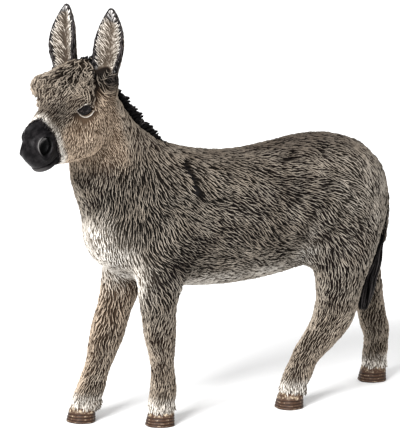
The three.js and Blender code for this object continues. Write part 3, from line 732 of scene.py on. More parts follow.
def corners_of(obj):
    corners = np.empty(len(obj.data.vertices) * 3, np.float32)
    obj.data.vertices.foreach_get("co", corners)
    return corners.reshape(-1, 3) / MM


def normals_of(obj):
    normals = np.empty(len(obj.data.vertices) * 3, np.float32)
    obj.data.vertices.foreach_get("normal", normals)
    return normals.reshape(-1, 3)


def set_corners(obj, corners):
    obj.data.vertices.foreach_set("co", (corners * MM).astype(np.float32).ravel())
    obj.data.update()


def put_attribute(obj, name, columns):
    """Stores up to four values for each corner."""
    filled = np.ones((len(columns), 4), np.float32)
    filled[:, :columns.shape[1]] = columns
    layer = obj.data.attributes.new(name, "FLOAT_COLOR", "POINT")
    layer.data.foreach_set("color", filled.ravel())


def with_modifier(obj, kind, **settings):
    """Runs one modifier and keeps its result as plain mesh."""
    modifier = obj.modifiers.new(kind, kind)
    for key, value in settings.items():
        setattr(modifier, key, value)
    graph = bpy.context.evaluated_depsgraph_get()
    made = bpy.data.meshes.new_from_object(obj.evaluated_get(graph))
    obj.modifiers.clear()
    old = obj.data
    obj.data = made
    bpy.data.meshes.remove(old)


# ---- Skin: face and finish ----------------------------------------------------------------------------
# On the face the mesh is finer, and lids, nostrils, mouth and the edge of the cheek are worked into it.
# The muzzle is bare, smooth and painted near-black; the rest is the ground between the locks.

SKIN_TRIANGLES = 190000


def face_relief(local):
    """How far the face's skin moves out, in mm, at points in the head's axes."""
    side = step(3.0, 3.8, np.abs(local[:, 1]))
    gap, along, across = lid_gap(local)
    eye = -0.9 * step(0.02, -0.12, gap) + 0.2 * bell(gap - LID_RIM, 0.16)
    upper = step(0, 0.4, across)
    eye += -0.16 * upper * bell(gap - 0.85, 0.22) + 0.2 * upper * bell(gap - 1.5, 0.5)
    eye *= step(1.35, 1.15, np.abs(along)) * side
    around = nostril_gap(local)
    nostril = -1.7 * step(1.0, 0.4, around) + 0.24 * bell(around - 1.14, 0.16)
    front = step(19.5, 21.0, local[:, 0])
    below = local[:, 2] - MOUTH_LEVEL
    mouth = (-0.55 * bell(below, 0.22) + 0.2 * bell(below + 0.75, 0.4)) * front
    cheek = -0.25 * bell(off_path(local[:, [0, 2]], CHEEK_EDGE), 0.5) * step(0.5, 1.5, np.abs(local[:, 1]))
    return eye + nostril + mouth + cheek


def sculpt_face(obj):
    local = in_head(corners_of(obj))
    near = (np.abs(local[:, 0] - 16) < 10.5) & (np.abs(local[:, 1]) < 7) & (np.abs(local[:, 2] + 5) < 6)
    fine = bmesh.new()
    fine.from_mesh(obj.data)
    edges = [e for e in fine.edges if near[e.verts[0].index] and near[e.verts[1].index]]
    bmesh.ops.subdivide_edges(fine, edges=edges, cuts=1, use_grid_fill=True)
    fine.to_mesh(obj.data)
    fine.free()
    obj.data.update()
    corners = corners_of(obj)
    local = in_head(corners)
    on_face = (local[:, 0] > 4) & (local[:, 2] > -18) & (local[:, 2] < 2) & (head_share(corners) > 0.5)
    corners[on_face] += normals_of(obj)[on_face] * face_relief(local[on_face])[:, None]
    set_corners(obj, corners)


def skin_material():
    material, tree, shader = principled("painted skin")
    paint = use_group(tree, hair_paint)
    strands = noise(tree, 1500, 3, 0.6)
    pale, dark, _, black = attribute(tree, "mark")
    # The ground between the locks gets mostly the grooves' colour: wash and painted shade.
    level = maths(tree, "ADD", maths(tree, "MULTIPLY", strands, 0.6), maths(tree, "MULTIPLY", pale, 0.5))
    value_into(tree, paint.inputs["Crest"], level)
    mottled = mixed(tree, ramp(tree, noise(tree, 900, 4, 0.65), 0.35, 0.7), srgb(6, 5, 6), srgb(27, 25, 26))
    # The pale share paints the highlight on the nostrils' rims; the dark share paints shade inside them.
    mottled = mixed(tree, pale, mottled, srgb(190, 186, 184))
    mottled = mixed(tree, dark, mottled, srgb(3, 3, 3))
    value_into(tree, shader.inputs["Base Color"], mixed(tree, black, paint.outputs["Color"], mottled))
    value_into(tree, shader.inputs["Roughness"],
               maths(tree, "SUBTRACT", paint.outputs["Roughness"], maths(tree, "MULTIPLY", black, 0.36)))
    shader.inputs["Specular IOR Level"].default_value = 0.05
    bumped(tree, shader, noise(tree, 3200, 3), 0.05)
    return material


low_skin, skin_faces = surface(skin)
skin_object = mesh_object("skin", low_skin, skin_faces)
sculpt_face(skin_object)
triangles = sum(len(p.vertices) - 2 for p in skin_object.data.polygons)
with_modifier(skin_object, "DECIMATE", ratio=SKIN_TRIANGLES / triangles)
put_attribute(skin_object, "mark", markings(corners_of(skin_object)))
skin_object.data.materials.clear()
skin_object.data.materials.append(skin_material())
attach(skin_object, "root")
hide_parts(*FLESH, "forelock")


# ---- How the coat lies --------------------------------------------------------------------------------
# Hair runs down the neck and shoulders, back along the barrel, down the haunches and legs, in waves over
# the flank, and away from the eye on the cheek. Each line is a place on the side of the body and the
# angle there, in degrees below the direction of the tail.

LIE = [  # x, z, angle
    (-16, 66, 72), (-24, 62, 92), (-28, 57, 100), (-22, 54, 88), (-15, 57, 68), (-11, 55, 52),
    (-18, 48, 78), (-10, 48, 62), (-13, 42, 58), (-19, 42, 84), (-25, 42, 92), (-24, 36, 84),
    (-14, 36, 50), (-17, 31, 66), (-12, 30, 66), (-5, 50, 44), (-4, 44, 36), (-4, 38, 28), (-8, 33, 5),
    (-2, 32, 12), (4, 50, 32), (5, 42, 32), (5, 35, 18), (12, 48, 26), (12, 41, 30), (14, 35, 14),
    (18, 48, 2), (20, 43, 8), (20, 37, 50), (0, 56, 24), (10, 55, 22), (20, 56, 24), (28, 55, 40),
    (34, 50, 60), (26, 50, 26), (26, 44, 28), (30, 42, 40), (27, 38, 40), (24, 33, 62), (31, 34, 68),
    (36, 45, 74), (-14, 24, 92), (-14, 10, 92), (-25, 24, 98), (-25, 10, 98), (25, 26, 108),
    (20, 14, 112), (17, 6, 100), (38, 20, 76), (42, 8, 78),
]
LIE_REACH = 3.2               # mm, over which one place's angle gives way to the next
WANDER = 0.24                 # radians, that the lie drifts either way over a few millimetres


def drift(points, seed, scale):
    """A smooth wandering value between about -1 and 1 at each point."""
    turn = np.random.default_rng(seed).normal(size=(3, 6)) / scale
    shift = np.random.default_rng(seed + 1).uniform(0, 2 * math.pi, 6)
    return np.sin(points @ turn + shift).mean(axis=1) * 1.8


def body_lie(points):
    places = np.array([(x, z) for x, z, _ in LIE], float)
    angles = np.radians([angle for _, _, angle in LIE])
    gap = ((points[:, None, [0, 2]] - places) ** 2).sum(axis=2)
    weight = np.exp(-(gap - gap.min(axis=1, keepdims=True)) / (2 * LIE_REACH ** 2))
    run, drop = weight @ np.cos(angles), weight @ np.sin(angles)
    angle = np.arctan2(drop, run) + WANDER * drift(points, 5, 2.4)
    return np.stack([np.cos(angle), np.zeros(len(points)), -np.sin(angle)], axis=1)


def head_lie(points):
    local = in_head(points)
    x, y, z = local.T
    side = np.sign(y) * step(0, 2.5, np.abs(y))
    bridge = np.stack([np.ones(len(x)), 0.25 * side, -0.1 * np.ones(len(x))], axis=1)
    forehead = np.stack([0.8 + 0 * x, 0.9 * side, 0.2 * side * side], axis=1)
    cheek = np.stack([0.35 * (x - 8), 0 * x, 0.35 * np.minimum(z + 1.5, 0) - 0.9], axis=1)
    cheek /= np.linalg.norm(cheek, axis=1, keepdims=True)
    brow_share = (step(9, 6, x) * step(-4.5, -1.5, z))[:, None]
    cheek_share = step(-1.5, -4.0, z)[:, None]
    lie = (bridge * (1 - brow_share) + forehead * brow_share) * (1 - cheek_share) + cheek * cheek_share
    return (lie + 0.2 * drift(points, 9, 1.5)[:, None] * np.array([0, 0.4, 0.6])) @ head_turn.T


def along_skin(run, up):
    """Directions laid down on the skin, as unit vectors."""
    run = run - up * (run * up).sum(axis=1, keepdims=True)
    return run / np.maximum(np.linalg.norm(run, axis=1, keepdims=True), 1e-6)


def coat_lie(points, up):
    """The way the hair lies at points on the skin, as unit vectors along it."""
    head = head_share(points)[:, None]
    return along_skin(body_lie(points) * (1 - head) + head_lie(points) * head, up)


# ---- Locks --------------------------------------------------------------------------------------------
# Each sculpted lock is a thin closed lens, half sunk in the skin, that rises from a narrow root to its
# crest and ends in a point a little above the next lock.

STATIONS = np.array([0, 0.14, 0.34, 0.54, 0.73, 0.89, 1.0])
RISE = np.array([-0.6, 0.15, 0.75, 1.0, 0.95, 0.6, 0.1])      # of the crest, in lock heights
BREADTH = np.array([0, 0.62, 0.95, 1.0, 0.85, 0.5, 0])
SECTION = np.array([(-1.0, -0.3), (-0.52, 0.55), (0.0, 1.0), (0.52, 0.55), (1.0, -0.3)])
PATCH = 0.003                 # across each lock's own place on the coat's map


def trace(roots, lengths, flow, wave, phase, field=skin):
    """The middle lines of locks: from their roots along the flow, laid on the skin."""
    here = settle(roots, field)
    line, normals = [here], [outward(here, field)]
    for before, after in zip(STATIONS, STATIONS[1:]):
        run = flow(here, normals[-1])
        swing = (wave * np.sin(2 * math.pi * (1.1 * after + phase)))[:, None]
        side = np.cross(normals[-1], run)
        here = here + (run * np.cos(swing) + side * np.sin(swing)) * (lengths * (after - before))[:, None]
        here = settle(here, field)
        line.append(here)
        normals.append(outward(here, field))
    line, normals = np.stack(line, axis=1), np.stack(normals, axis=1)
    flat = line.reshape(-1, 3)
    raised = face_relief(in_head(flat)) * head_share(flat)
    return line + normals * raised.reshape(line.shape[:2])[:, :, None], normals


def lens_faces(count):
    """The triangles of count locks, each of five rings between two points."""
    around, rings = len(SECTION), len(STATIONS) - 2
    ring = 1 + np.arange(rings)[:, None] * around + np.arange(around)
    turned = np.roll(ring, -1, axis=1)
    sides = np.concatenate([np.stack([ring[:-1], turned[:-1], turned[1:]], -1).reshape(-1, 3),
                            np.stack([ring[:-1], turned[1:], ring[1:]], -1).reshape(-1, 3)])
    last = 1 + rings * around
    root = np.stack([np.zeros(around, int), turned[0], ring[0]], -1)
    tip = np.stack([np.full(around, last), ring[-1], turned[-1]], -1)
    one = np.concatenate([root, sides, tip])
    return (one[None] + np.arange(count)[:, None, None] * (last + 1)).reshape(-1, 3)


def lock_object(name, line, normals, width, height, tone, marks, place_on_map, lift=0.0):
    """One mesh of many locks, with their paint attributes and their map."""
    count = len(line)
    along = np.gradient(line, axis=1)
    along /= np.maximum(np.linalg.norm(along, axis=2, keepdims=True), 1e-9)
    side = np.cross(normals, along)
    crest = height[:, None] * RISE + np.reshape(lift, (-1, 1)) * STATIONS ** 2
    middle_line = line + normals * np.minimum(crest, 0)[:, :, None]
    corners = [middle_line[:, :1]]
    # Root corner: low crest share, painted dark as shade where it runs under the lock before.
    values = [np.stack([0.1 + 0 * tone, 0 * tone, tone], -1)[:, None]]
    spots = [np.stack([0 * tone, 0 * tone - 0.5], -1)[:, None]]
    for k in range(1, len(STATIONS) - 1):
        across = SECTION[:, 0] * (0.5 * width * BREADTH[k])[:, None]
        above = SECTION[:, 1] * np.where(SECTION[:, 1] > 0, np.maximum(crest[:, k], 0.05)[:, None],
                                         height[:, None])
        corners.append(line[:, k:k + 1] + side[:, k:k + 1] * across[:, :, None]
                       + normals[:, k:k + 1] * above[:, :, None])
        # Crest share: pale on top, dark at the sides and towards the root, as wash and painted shade.
        shine = np.broadcast_to(np.clip(SECTION[:, 1], 0, 1), (count, len(SECTION)))
        shine = shine * np.clip(0.35 + 0.8 * STATIONS[k], 0, 1)
        values.append(np.stack([shine, np.full_like(shine, STATIONS[k]),
                                np.repeat(tone[:, None], len(SECTION), 1)], -1))
        spots.append(np.stack([np.broadcast_to(SECTION[:, 0] / 2, shine.shape),
                               np.full_like(shine, STATIONS[k] - 0.5)], -1))
    corners.append(line[:, -1:] + normals[:, -1:] * (crest[:, -1] * 0.9)[:, None, None])
    values.append(np.stack([0.75 + 0 * tone, 1 + 0 * tone, tone], -1)[:, None])
    spots.append(np.stack([0 * tone, 0.5 + 0 * tone], -1)[:, None])
    corners = np.concatenate(corners, axis=1)
    per_lock = corners.shape[1]
    faces = lens_faces(count)
    obj = mesh_object(name, corners.reshape(-1, 3), faces)
    put_attribute(obj, "lock", np.concatenate(values, axis=1).reshape(-1, 3))
    put_attribute(obj, "mark", np.repeat(marks, per_lock, axis=0))
    spots = place_on_map[:, None] + PATCH * np.concatenate(spots, axis=1)
    layer = obj.data.uv_layers.new(name="OFBake")
    layer.data.foreach_set("uv", spots.reshape(-1, 2)[faces.ravel()].astype(np.float32).ravel())
    return obj


LAYER = 0.3                    # mm off the skin's plane, past which two locks aren't neighbours


def spread(points, normals, run, size, across_gap, along_gap):
    """Picks points so that no two are nearer than the gaps, measured across and along the lie."""
    order = np.argsort(-size, kind="stable")
    cell = along_gap * size.max()
    side = np.cross(normals, run)
    data = np.concatenate([points, run, side, normals, size[:, None]], axis=1).tolist()
    keys = np.floor(points / cell).astype(int).tolist()
    near = list(np.ndindex(3, 3, 3))
    taken, kept = {}, []
    for i in order:
        px, py, pz, rx, ry, rz, sx, sy, sz, nx, ny, nz, scale = data[i]
        kx, ky, kz = keys[i]
        inverse_along = 1 / (along_gap * scale)
        inverse_across = 1 / (across_gap * scale)
        free = True
        for a, b, c in near:
            for qx, qy, qz in taken.get((kx + a - 1, ky + b - 1, kz + c - 1), ()):
                dx, dy, dz = px - qx, py - qy, pz - qz
                u = (dx * rx + dy * ry + dz * rz) * inverse_along
                v = (dx * sx + dy * sy + dz * sz) * inverse_across
                if u * u + v * v < 1 and abs(dx * nx + dy * ny + dz * nz) < LAYER:
                    free = False
                    break
            if not free:
                break
        if free:
            taken.setdefault((kx, ky, kz), []).append((px, py, pz))
            kept.append(i)
    return np.array(kept)


def hair_material():
    material, tree, shader = principled("painted hair")
    paint = use_group(tree, hair_paint)
    crest, _, tone, _ = attribute(tree, "lock")
    value_into(tree, paint.inputs["Crest"], crest)
    value_into(tree, paint.inputs["Tone"], tone)
    value_into(tree, shader.inputs["Base Color"], paint.outputs["Color"])
    value_into(tree, shader.inputs["Roughness"], paint.outputs["Roughness"])
    shader.inputs["Specular IOR Level"].default_value = 0.06
    bumped(tree, shader, paint.outputs["Height"], 0.04)
    return material


# ---- The coat -----------------------------------------------------------------------------------------
# Locks about half a millimetre wide and two to four long cover trunk, neck and legs; they are shorter
# and finer down the legs and finest on the face. They are moulded with the body.

LOCK = (0.47, 0.46, 3.2)      # width, height and length of a body lock, in mm
GAPS = (0.41, 0.85)           # mm between locks, across and along, before their size is taken into it
MOST_LOCKS = 3800             # in one piece, which keeps it under the limit on triangles
CANDIDATES = 130000           # places on the skin that are tried
JITTER = 0.08                 # mm, that they are moved by at random
CREASE_BARE = 0.84            # of the crease's depth, past which no lock crosses it
BARE_FOOT = 3.4               # mm above the floor, under which no coat grows


def lock_size(points):
    """Width and length factor, and height factor, of the locks at each point."""
    local = in_head(points)
    head = head_share(points)
    forehead = head * step(9.5, 6.0, local[:, 0]) * step(-4.5, -2.5, local[:, 2])
    leg = step(30, 8, points[:, 2])
    size = (1 - 0.32 * leg) * (1 - head) + head * (0.55 + 0.6 * forehead)
    height = (1 - 0.3 * leg) * (1 - head) + head * (0.35 + 0.85 * forehead)
    ring = head * step(-2.6, -0.8, muzzle_line(local))
    return size * (1 - 0.3 * ring), height


def coat_places():
    """Places on the skin that carry coat hair."""
    points = low_skin.astype(float)
    local = in_head(points)
    gap, _, across = lid_gap(local)
    open_eye = (gap < np.where(across > 0, 0.5, 0.34)) & (np.abs(local[:, 1]) > 3)
    bare = (muzzle_line(local) > 0) & (head_share(points) > 0.02)
    keep = (points[:, 2] > BARE_FOOT) & ~bare & ~open_eye
    keep &= ear_share(points) < 0.5
    return points[keep]


def skin_map(points):
    """Each point's place on an unwrap of the skin: round each part, and along it."""
    head = in_head(points)
    turn_trunk = np.arctan2(points[:, 1] - MIDDLE, points[:, 2] - 42)
    turn_head = np.arctan2(head[:, 1], head[:, 2] + 6)
    front, left = points[:, 0] < 5, points[:, 1] < 2
    leg_x = np.where(front, np.where(left, -13.3, -25.0), np.where(left, 20.0, 39.0))
    turn_leg = np.arctan2(points[:, 1] - np.where(left, -4.5, 6.5), points[:, 0] - leg_x)
    on_head = head_share(points) > 0.5
    on_leg = points[:, 2] < 30
    turn = np.where(on_head, turn_head, np.where(on_leg, turn_leg, turn_trunk)) / (2 * math.pi) + 0.5
    along_body = np.where(on_leg, points[:, 2] / 32, (points[:, 0] + 35) / 80)
    along = np.where(on_head, (head[:, 0] + 5) / 32, along_body)
    column = np.where(on_head, 5, np.where(on_leg, 1 + 2 * front + left, 0))
    return np.stack([(column + 0.02 + 0.96 * turn) / 6, 0.02 + 0.96 * along.clip(0, 1)], axis=1)


places = coat_places()
rng = np.random.default_rng(21)
places = places[rng.permutation(len(places))[:CANDIDATES]]
places = settle(places + rng.normal(0, JITTER, places.shape))
up = outward(places)
size, tall = lock_size(places)
size = size * rng.uniform(0.82, 1.08, len(size))
kept = spread(places, up, coat_lie(places, up), size, *GAPS)
places, size, tall = places[kept], size[kept], tall[kept]
kept_head = head_share(places)
curl = 0.3 + 0.55 * kept_head * step(-4.0, -1.5, in_head(places)[:, 2]) * step(12, 9, in_head(places)[:, 0])
lengths = LOCK[2] * size * rng.uniform(0.8, 1.2, len(places))
phase = 0.5 * drift(places, 31, 1.6) + rng.normal(0, 0.1, len(places))
line, normals = trace(places, lengths, coat_lie, curl, phase)
# No lock crosses the fold behind the shoulder, so its painted shade shows.
clear = crease_share(line[:, 2:6].reshape(-1, 3)).reshape(-1, 4).max(axis=1) < CREASE_BARE
places, size, tall, line, normals = (values[clear] for values in (places, size, tall, line, normals))
tone = np.clip(0.5 + 0.14 * drift(places, 41, 1.2) + rng.normal(0, 0.12, len(places)), 0, 1)
width = LOCK[0] * size * rng.uniform(0.85, 1.15, len(places))
height = LOCK[1] * tall * rng.uniform(0.8, 1.15, len(places))
stand = 0.24 + 0.1 * step(32, 24, places[:, 2]) * step(5, 8, places[:, 2])
marks = markings(line[:, 3])
spots = skin_map(line[:, 0])
coat_paint = hair_material()
ranks = np.argsort(line[:, 0, 0] + 100 * (line[:, 0, 2] < 24))
for number, part in enumerate(np.array_split(ranks, math.ceil(len(ranks) / MOST_LOCKS))):
    coat = lock_object(f"coat_{number + 1}", line[part], normals[part], width[part], height[part], tone[part],
                       marks[part], spots[part], lift=stand[part])
    coat.data.materials.append(coat_paint)
    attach(coat, "root")
    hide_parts(*FLESH)


# ---- Ears: hair ---------------------------------------------------------------------------------------
# Inside, fine cream locks fan out from the middle of the cup like a herring bone; outside, short ones run
# up to the tip.

EAR_LOCK = (0.44, 0.15, 2.0)  # width, height and length of an ear's lock, in mm
EAR_GAPS = (0.3, 1.0)         # mm between them, across and along
EAR_WAVE = 0.15               # radians, that they swing to either side


def ear_lie(points, up):
    run = head_lie(points)
    for name in EARS:
        height, around, depth = ear_place(points, name)
        turned, _ = ear_frames[name]
        near = np.abs(depth) < EAR_REACH
        angle = around * ear_curl(height)
        fan = np.stack([np.sin(angle), np.cos(angle), 0 * angle], axis=1) * np.sign(around)[:, None]
        inside = (step(0.1, -0.1, depth) * step(0.0, 0.12, np.abs(around)))[:, None]
        run[near] = ((np.array([0, 0, 1.0]) + 0.85 * inside * fan) @ turned.T)[near]
    return along_skin(run, up)


def dress(name, roots, flow, lock, gaps, curl, seed, replaced, size=1.0, lift=0.05):
    """Spreads locks over places on the skin and makes them one piece."""
    rng = np.random.default_rng(seed)
    roots = settle(roots + rng.normal(0, 0.06, roots.shape))
    up = outward(roots)
    size = rng.uniform(0.7, 1.1, len(roots)) * size
    kept = spread(roots, up, flow(roots, up), size, *gaps)
    roots, size = roots[kept], size[kept]
    lengths = lock[2] * size * rng.uniform(0.8, 1.2, len(roots))
    phase = 0.5 * drift(roots, seed + 1, 1.6) + rng.normal(0, 0.1, len(roots))
    line, normals = trace(roots, lengths, flow, curl, phase)
    tone = np.clip(0.5 + 0.28 * drift(roots, seed + 2, 1.2) + rng.normal(0, 0.16, len(roots)), 0, 1)
    width = lock[0] * size * rng.uniform(0.85, 1.15, len(roots))
    height = lock[1] * size * rng.uniform(0.8, 1.15, len(roots))
    obj = lock_object(name, line, normals, width, height, tone, markings(line[:, 3]), skin_map(line[:, 0]),
                      lift)
    obj.data.materials.append(coat_paint)
    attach(obj, "root")
    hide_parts(*replaced)


ear_points = low_skin[ear_share(low_skin.astype(float)) > 0.5].astype(float)
dress("ear_hair", ear_points, ear_lie, EAR_LOCK, EAR_GAPS, EAR_WAVE, 51, EARS)


# ---- Loose hair: tuft, mane, switch and forelock ------------------------------------------------------
# A black tuft stands between the ears, a short black mane along the crest, and a black brush hangs from
# the end of the tail. Their locks are thick and pointed. The forelock is a pad of the head with curls on.

MANE_PATH = [                 # mm, along the crest from the poll to the withers
    (-23.2, -0.6, 71.6), (-21.6, -0.4, 68.6), (-19.1, 0.3, 64.9), (-16.3, 1.1, 61.6), (-13.0, 1.7, 58.9),
    (-9.9, 1.9, 56.6),
]
MANE_ROWS = 5                 # side by side
MANE_LOCKS = 34               # along one row
MANE_LENGTH = 2.7             # mm, before it fades towards both ends
SWITCH_LOCKS = 190
TUFT_LOCKS = 130
FORELOCK = (0.52, 0.42, 2.1)  # width, height and length of its locks, in mm


def along_path(path, share):
    """Places on a line of points at shares of its length, and its direction there."""
    path = np.array(path, float)
    run = np.concatenate([[0], np.cumsum(np.linalg.norm(np.diff(path, axis=0), axis=1))])
    at = np.asarray(share) * run[-1]
    place = np.stack([np.interp(at, run, path[:, i]) for i in range(3)], axis=-1)
    ahead = np.stack([np.interp(np.minimum(at + 0.5, run[-1]), run, path[:, i]) for i in range(3)], axis=-1)
    back = np.stack([np.interp(np.maximum(at - 0.5, 0), run, path[:, i]) for i in range(3)], axis=-1)
    return place, (ahead - back) / np.linalg.norm(ahead - back, axis=-1, keepdims=True)


def unit(vectors):
    return vectors / np.maximum(np.linalg.norm(vectors, axis=-1, keepdims=True), 1e-9)


BLACK = (0.0, 0.0, 0.0, 1.0)  # shares of pale, dark, warm and black


def free_locks(name, roots, first, last, lengths, width, height, sway, seed, replaced=()):
    """Locks free of the skin: each leaves its root along first and turns towards last."""
    rng = np.random.default_rng(seed)
    line = [roots]
    headings = [unit(first)]
    swing = rng.uniform(0, 2 * math.pi, len(roots))
    aside = unit(np.cross(first, last))
    for before, after in zip(STATIONS, STATIONS[1:]):
        heading = unit(first * (1 - after) + last * after
                       + sway * aside * np.sin(2 * math.pi * 1.2 * after + swing)[:, None])
        headings.append(heading)
        line.append(line[-1] + heading * (lengths * (after - before))[:, None])
    line, headings = np.stack(line, axis=1), np.stack(headings, axis=1)
    normals = unit(np.cross(headings, aside[:, None]))
    tone = rng.uniform(0.1, 0.8, len(roots))
    marks = np.tile(BLACK, (len(roots), 1))
    obj = lock_object(name, line, normals, width, height, tone, marks, skin_map(roots))
    obj.data.materials.append(coat_paint)
    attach(obj, "root")
    if replaced:
        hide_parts(*replaced)


def make_mane():
    rng = np.random.default_rng(61)
    share = np.repeat((np.arange(MANE_LOCKS) + 0.5) / MANE_LOCKS, MANE_ROWS)
    row = np.tile(np.linspace(-1, 1, MANE_ROWS), MANE_LOCKS)
    share = np.clip(share + rng.uniform(-0.012, 0.012, len(share)), 0, 1)
    place, run = along_path(MANE_PATH, share)
    side = unit(np.cross(run, (0, 0, 1)))
    rise = unit(np.cross(side, run))
    roots = place + side * (row * 0.75)[:, None] - rise * 0.4
    fade = np.sin(math.pi * (0.1 + 0.82 * share)) ** 0.5
    first = unit(rise + side * (row * 0.35)[:, None] + rng.normal(0, 0.12, roots.shape))
    last = unit(0.75 * rise + 0.55 * run + side * (row * 0.6)[:, None] + rng.normal(0, 0.25, roots.shape))
    lengths = MANE_LENGTH * fade * rng.uniform(0.85, 1.2, len(roots))
    free_locks("mane_hair", roots, first, last, lengths, 0.72 * rng.uniform(0.8, 1.2, len(roots)),
               np.full(len(roots), 0.5), 0.25, 62, ["mane"])


def node_middle(name, level):
    """Middle and half width of a node at heights in mm."""
    corners, _ = node_shape(name)
    place, half = [], []
    for z in np.atleast_1d(level):
        near = corners[np.abs(corners[:, 2] - z) < 1.2]
        low, high = near.min(axis=0), near.max(axis=0)
        place.append([(low[0] + high[0]) / 2, (low[1] + high[1]) / 2, z])
        half.append(((high - low)[:2] / 2).mean())
    return np.array(place), np.array(half)


def make_switch():
    rng = np.random.default_rng(71)
    low, high = np.array(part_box("tail_switch")) / MM
    dock = node_middle("tail", [high[2] + 3.0, high[2] + 1.4])
    brush = node_middle("tail_switch", np.linspace(high[2] - 1.0, low[2] + 0.8, 5))
    middles, halves = np.concatenate([dock[0], brush[0]]), np.concatenate([dock[1], brush[1]])
    angle = rng.uniform(0, 2 * math.pi, SWITCH_LOCKS)
    share = np.sqrt(rng.uniform(0.05, 1, SWITCH_LOCKS))
    start = rng.uniform(0, 0.55, SWITCH_LOCKS)
    reach = rng.uniform(0.42, 0.7, SWITCH_LOCKS)
    end = np.clip(start + reach, 0, 1.0)
    lines = []
    for station in STATIONS:
        t = start + (end - start) * station
        at = t * (len(STATIONS) - 1)
        steps = np.arange(len(STATIONS))
        here = np.stack([np.interp(at, steps, middles[:, i]) for i in range(3)], axis=1)
        half = np.interp(at, steps, halves) * 0.92
        half = half * (1.3 - 0.3 * np.minimum(t / 0.35, 1))
        turn = angle + 0.35 * np.sin(5 * t + angle * 3)
        lines.append(here + np.stack([np.cos(turn) * half * share, np.sin(turn) * half * share, 0 * half],
                                     axis=1))
    line = np.stack(lines, axis=1)
    away = np.stack([np.cos(angle), np.sin(angle), 0.1 + 0 * angle], axis=1)
    normals = away[:, None] * np.ones((1, len(STATIONS), 1))
    tone = np.clip(rng.normal(0.35, 0.3, SWITCH_LOCKS), 0, 1.2)
    marks = np.tile(BLACK, (SWITCH_LOCKS, 1))
    obj = lock_object("tail_switch_hair", line, unit(normals), 0.75 * rng.uniform(0.7, 1.2, SWITCH_LOCKS),
                      np.full(SWITCH_LOCKS, 0.45), tone, marks, skin_map(line[:, 0]))
    obj.data.materials.append(coat_paint)
    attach(obj, "root")
    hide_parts("tail_switch")


def make_tuft():
    rng = np.random.default_rng(81)
    spot = np.stack([rng.uniform(-2.4, 3.4, TUFT_LOCKS), rng.uniform(-3.2, 3.0, TUFT_LOCKS),
                     rng.uniform(-1.2, -0.8, TUFT_LOCKS)], axis=1)
    roots = settle(from_head(spot))
    up = outward(roots)
    first = unit(up + rng.normal(0, 0.3, roots.shape))
    last = unit(0.35 * up + rng.normal(0, 0.7, roots.shape))
    free_locks("crown_tuft", roots, first, last, rng.uniform(1.7, 2.8, TUFT_LOCKS),
               rng.uniform(0.5, 0.8, TUFT_LOCKS), np.full(TUFT_LOCKS, 0.45), 0.7, 82)


def make_forelock():
    """Curls that stand off the forelock's pad, over the far brow."""
    spots = low_skin[(sample(forelock, low_skin.astype(float)) < 0.5)].astype(float)
    local = in_head(spots)
    front = step(3.0, 7.0, local[local[:, 0] > 2.5, 0])
    dress("forelock_curls", spots[local[:, 0] > 2.5], coat_lie, FORELOCK, (0.55, 1.1), 0.8, 85,
          [*FLESH, "forelock"], 0.85 + 0.35 * front, 0.4)


make_mane()
make_switch()
make_tuft()
make_forelock()


# ---- Eyes ---------------------------------------------------------------------------------------------
# Each eye is a smooth dome of the same plastic that lies behind the lids, painted black-brown and
# glossed. Here it is a flattened ball of its own, sunk in the head, with lighter grey glints painted on.

EYEBALL = (3.2, 1.25, 2.4)    # half sizes along the opening, deep and high
EYE_SET = 3.86                # mm, the ball's middle from the middle of the head
EYE_LEAN = (-0.14, 0.18)      # how far its axis leans, per mm along and up the opening


def make_eye(name, side):
    ball = bmesh.new()
    bmesh.ops.create_uvsphere(ball, u_segments=48, v_segments=32, radius=1)
    a = math.radians(EYE_TILT)
    along = np.array([math.cos(a), 0, math.sin(a)])
    high = np.array([-math.sin(a), 0, math.cos(a)])
    for vertex in ball.verts:
        x, y, z = vertex.co
        local = np.array([EYE[0], side * EYE_SET, EYE[2]]) + along * x * EYEBALL[0] + high * y * EYEBALL[2]
        lean = EYE_LEAN[0] * x * EYEBALL[0] + EYE_LEAN[1] * y * EYEBALL[2]
        local += np.array([0, side, 0]) * (z * EYEBALL[1] + lean)
        vertex.co = Vector(from_head(local) * MM)
    bmesh.ops.recalc_face_normals(ball, faces=ball.faces)
    mesh = bpy.data.meshes.new("eyeball_" + name)
    ball.to_mesh(mesh)
    ball.free()
    mesh.polygons.foreach_set("use_smooth", np.full(len(mesh.polygons), True))
    obj = added("eyeball_" + name, mesh)
    mesh.materials.append(eye_gloss)
    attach(obj, "root")
    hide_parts("eye_" + name)


def eye_material():
    material, tree, shader = principled("eye")
    # Lighter grey spots in the black-brown are painted glints.
    painted_glints = ramp(tree, noise(tree, 1500, 2), 0.55, 0.75)
    value_into(tree, shader.inputs["Base Color"], mixed(tree, painted_glints, srgb(10, 8, 8), srgb(70, 62, 60)))
    shader.inputs["Roughness"].default_value = 0.12
    shader.inputs["Specular IOR Level"].default_value = 0.07
    return material


eye_gloss = eye_material()
make_eye("left", 1)
make_eye("right", -1)


# ---- Hooves -------------------------------------------------------------------------------------------
# The hooves are the flat-soled ends of the legs, of the same plastic: round-toed, with shallow rings,
# painted brown, darker the deeper a ring is cut and at the sole's edge, and rubbed pale on the rings' crests.

HOOF_RINGS = [                # mm above the floor; the last one is inside the hair
    0.0, 0.12, 0.3, 0.48, 0.56, 0.66, 0.9, 1.06, 1.14, 1.24, 1.5, 1.66, 1.74, 1.84, 2.1, 2.5, 3.3,
]
RING_DEPTHS = {               # mm, by height
    0.56: 0.14, 1.14: 0.14, 1.74: 0.13, 0.48: 0.05, 0.66: 0.05, 1.06: 0.05, 1.24: 0.05,
    1.66: 0.05, 1.84: 0.05, 0.0: 0.22, 0.12: 0.05,
}
DARK_RING = 0.14              # mm, the depth at which a ring is painted darkest
HOOF_SIDES = 56


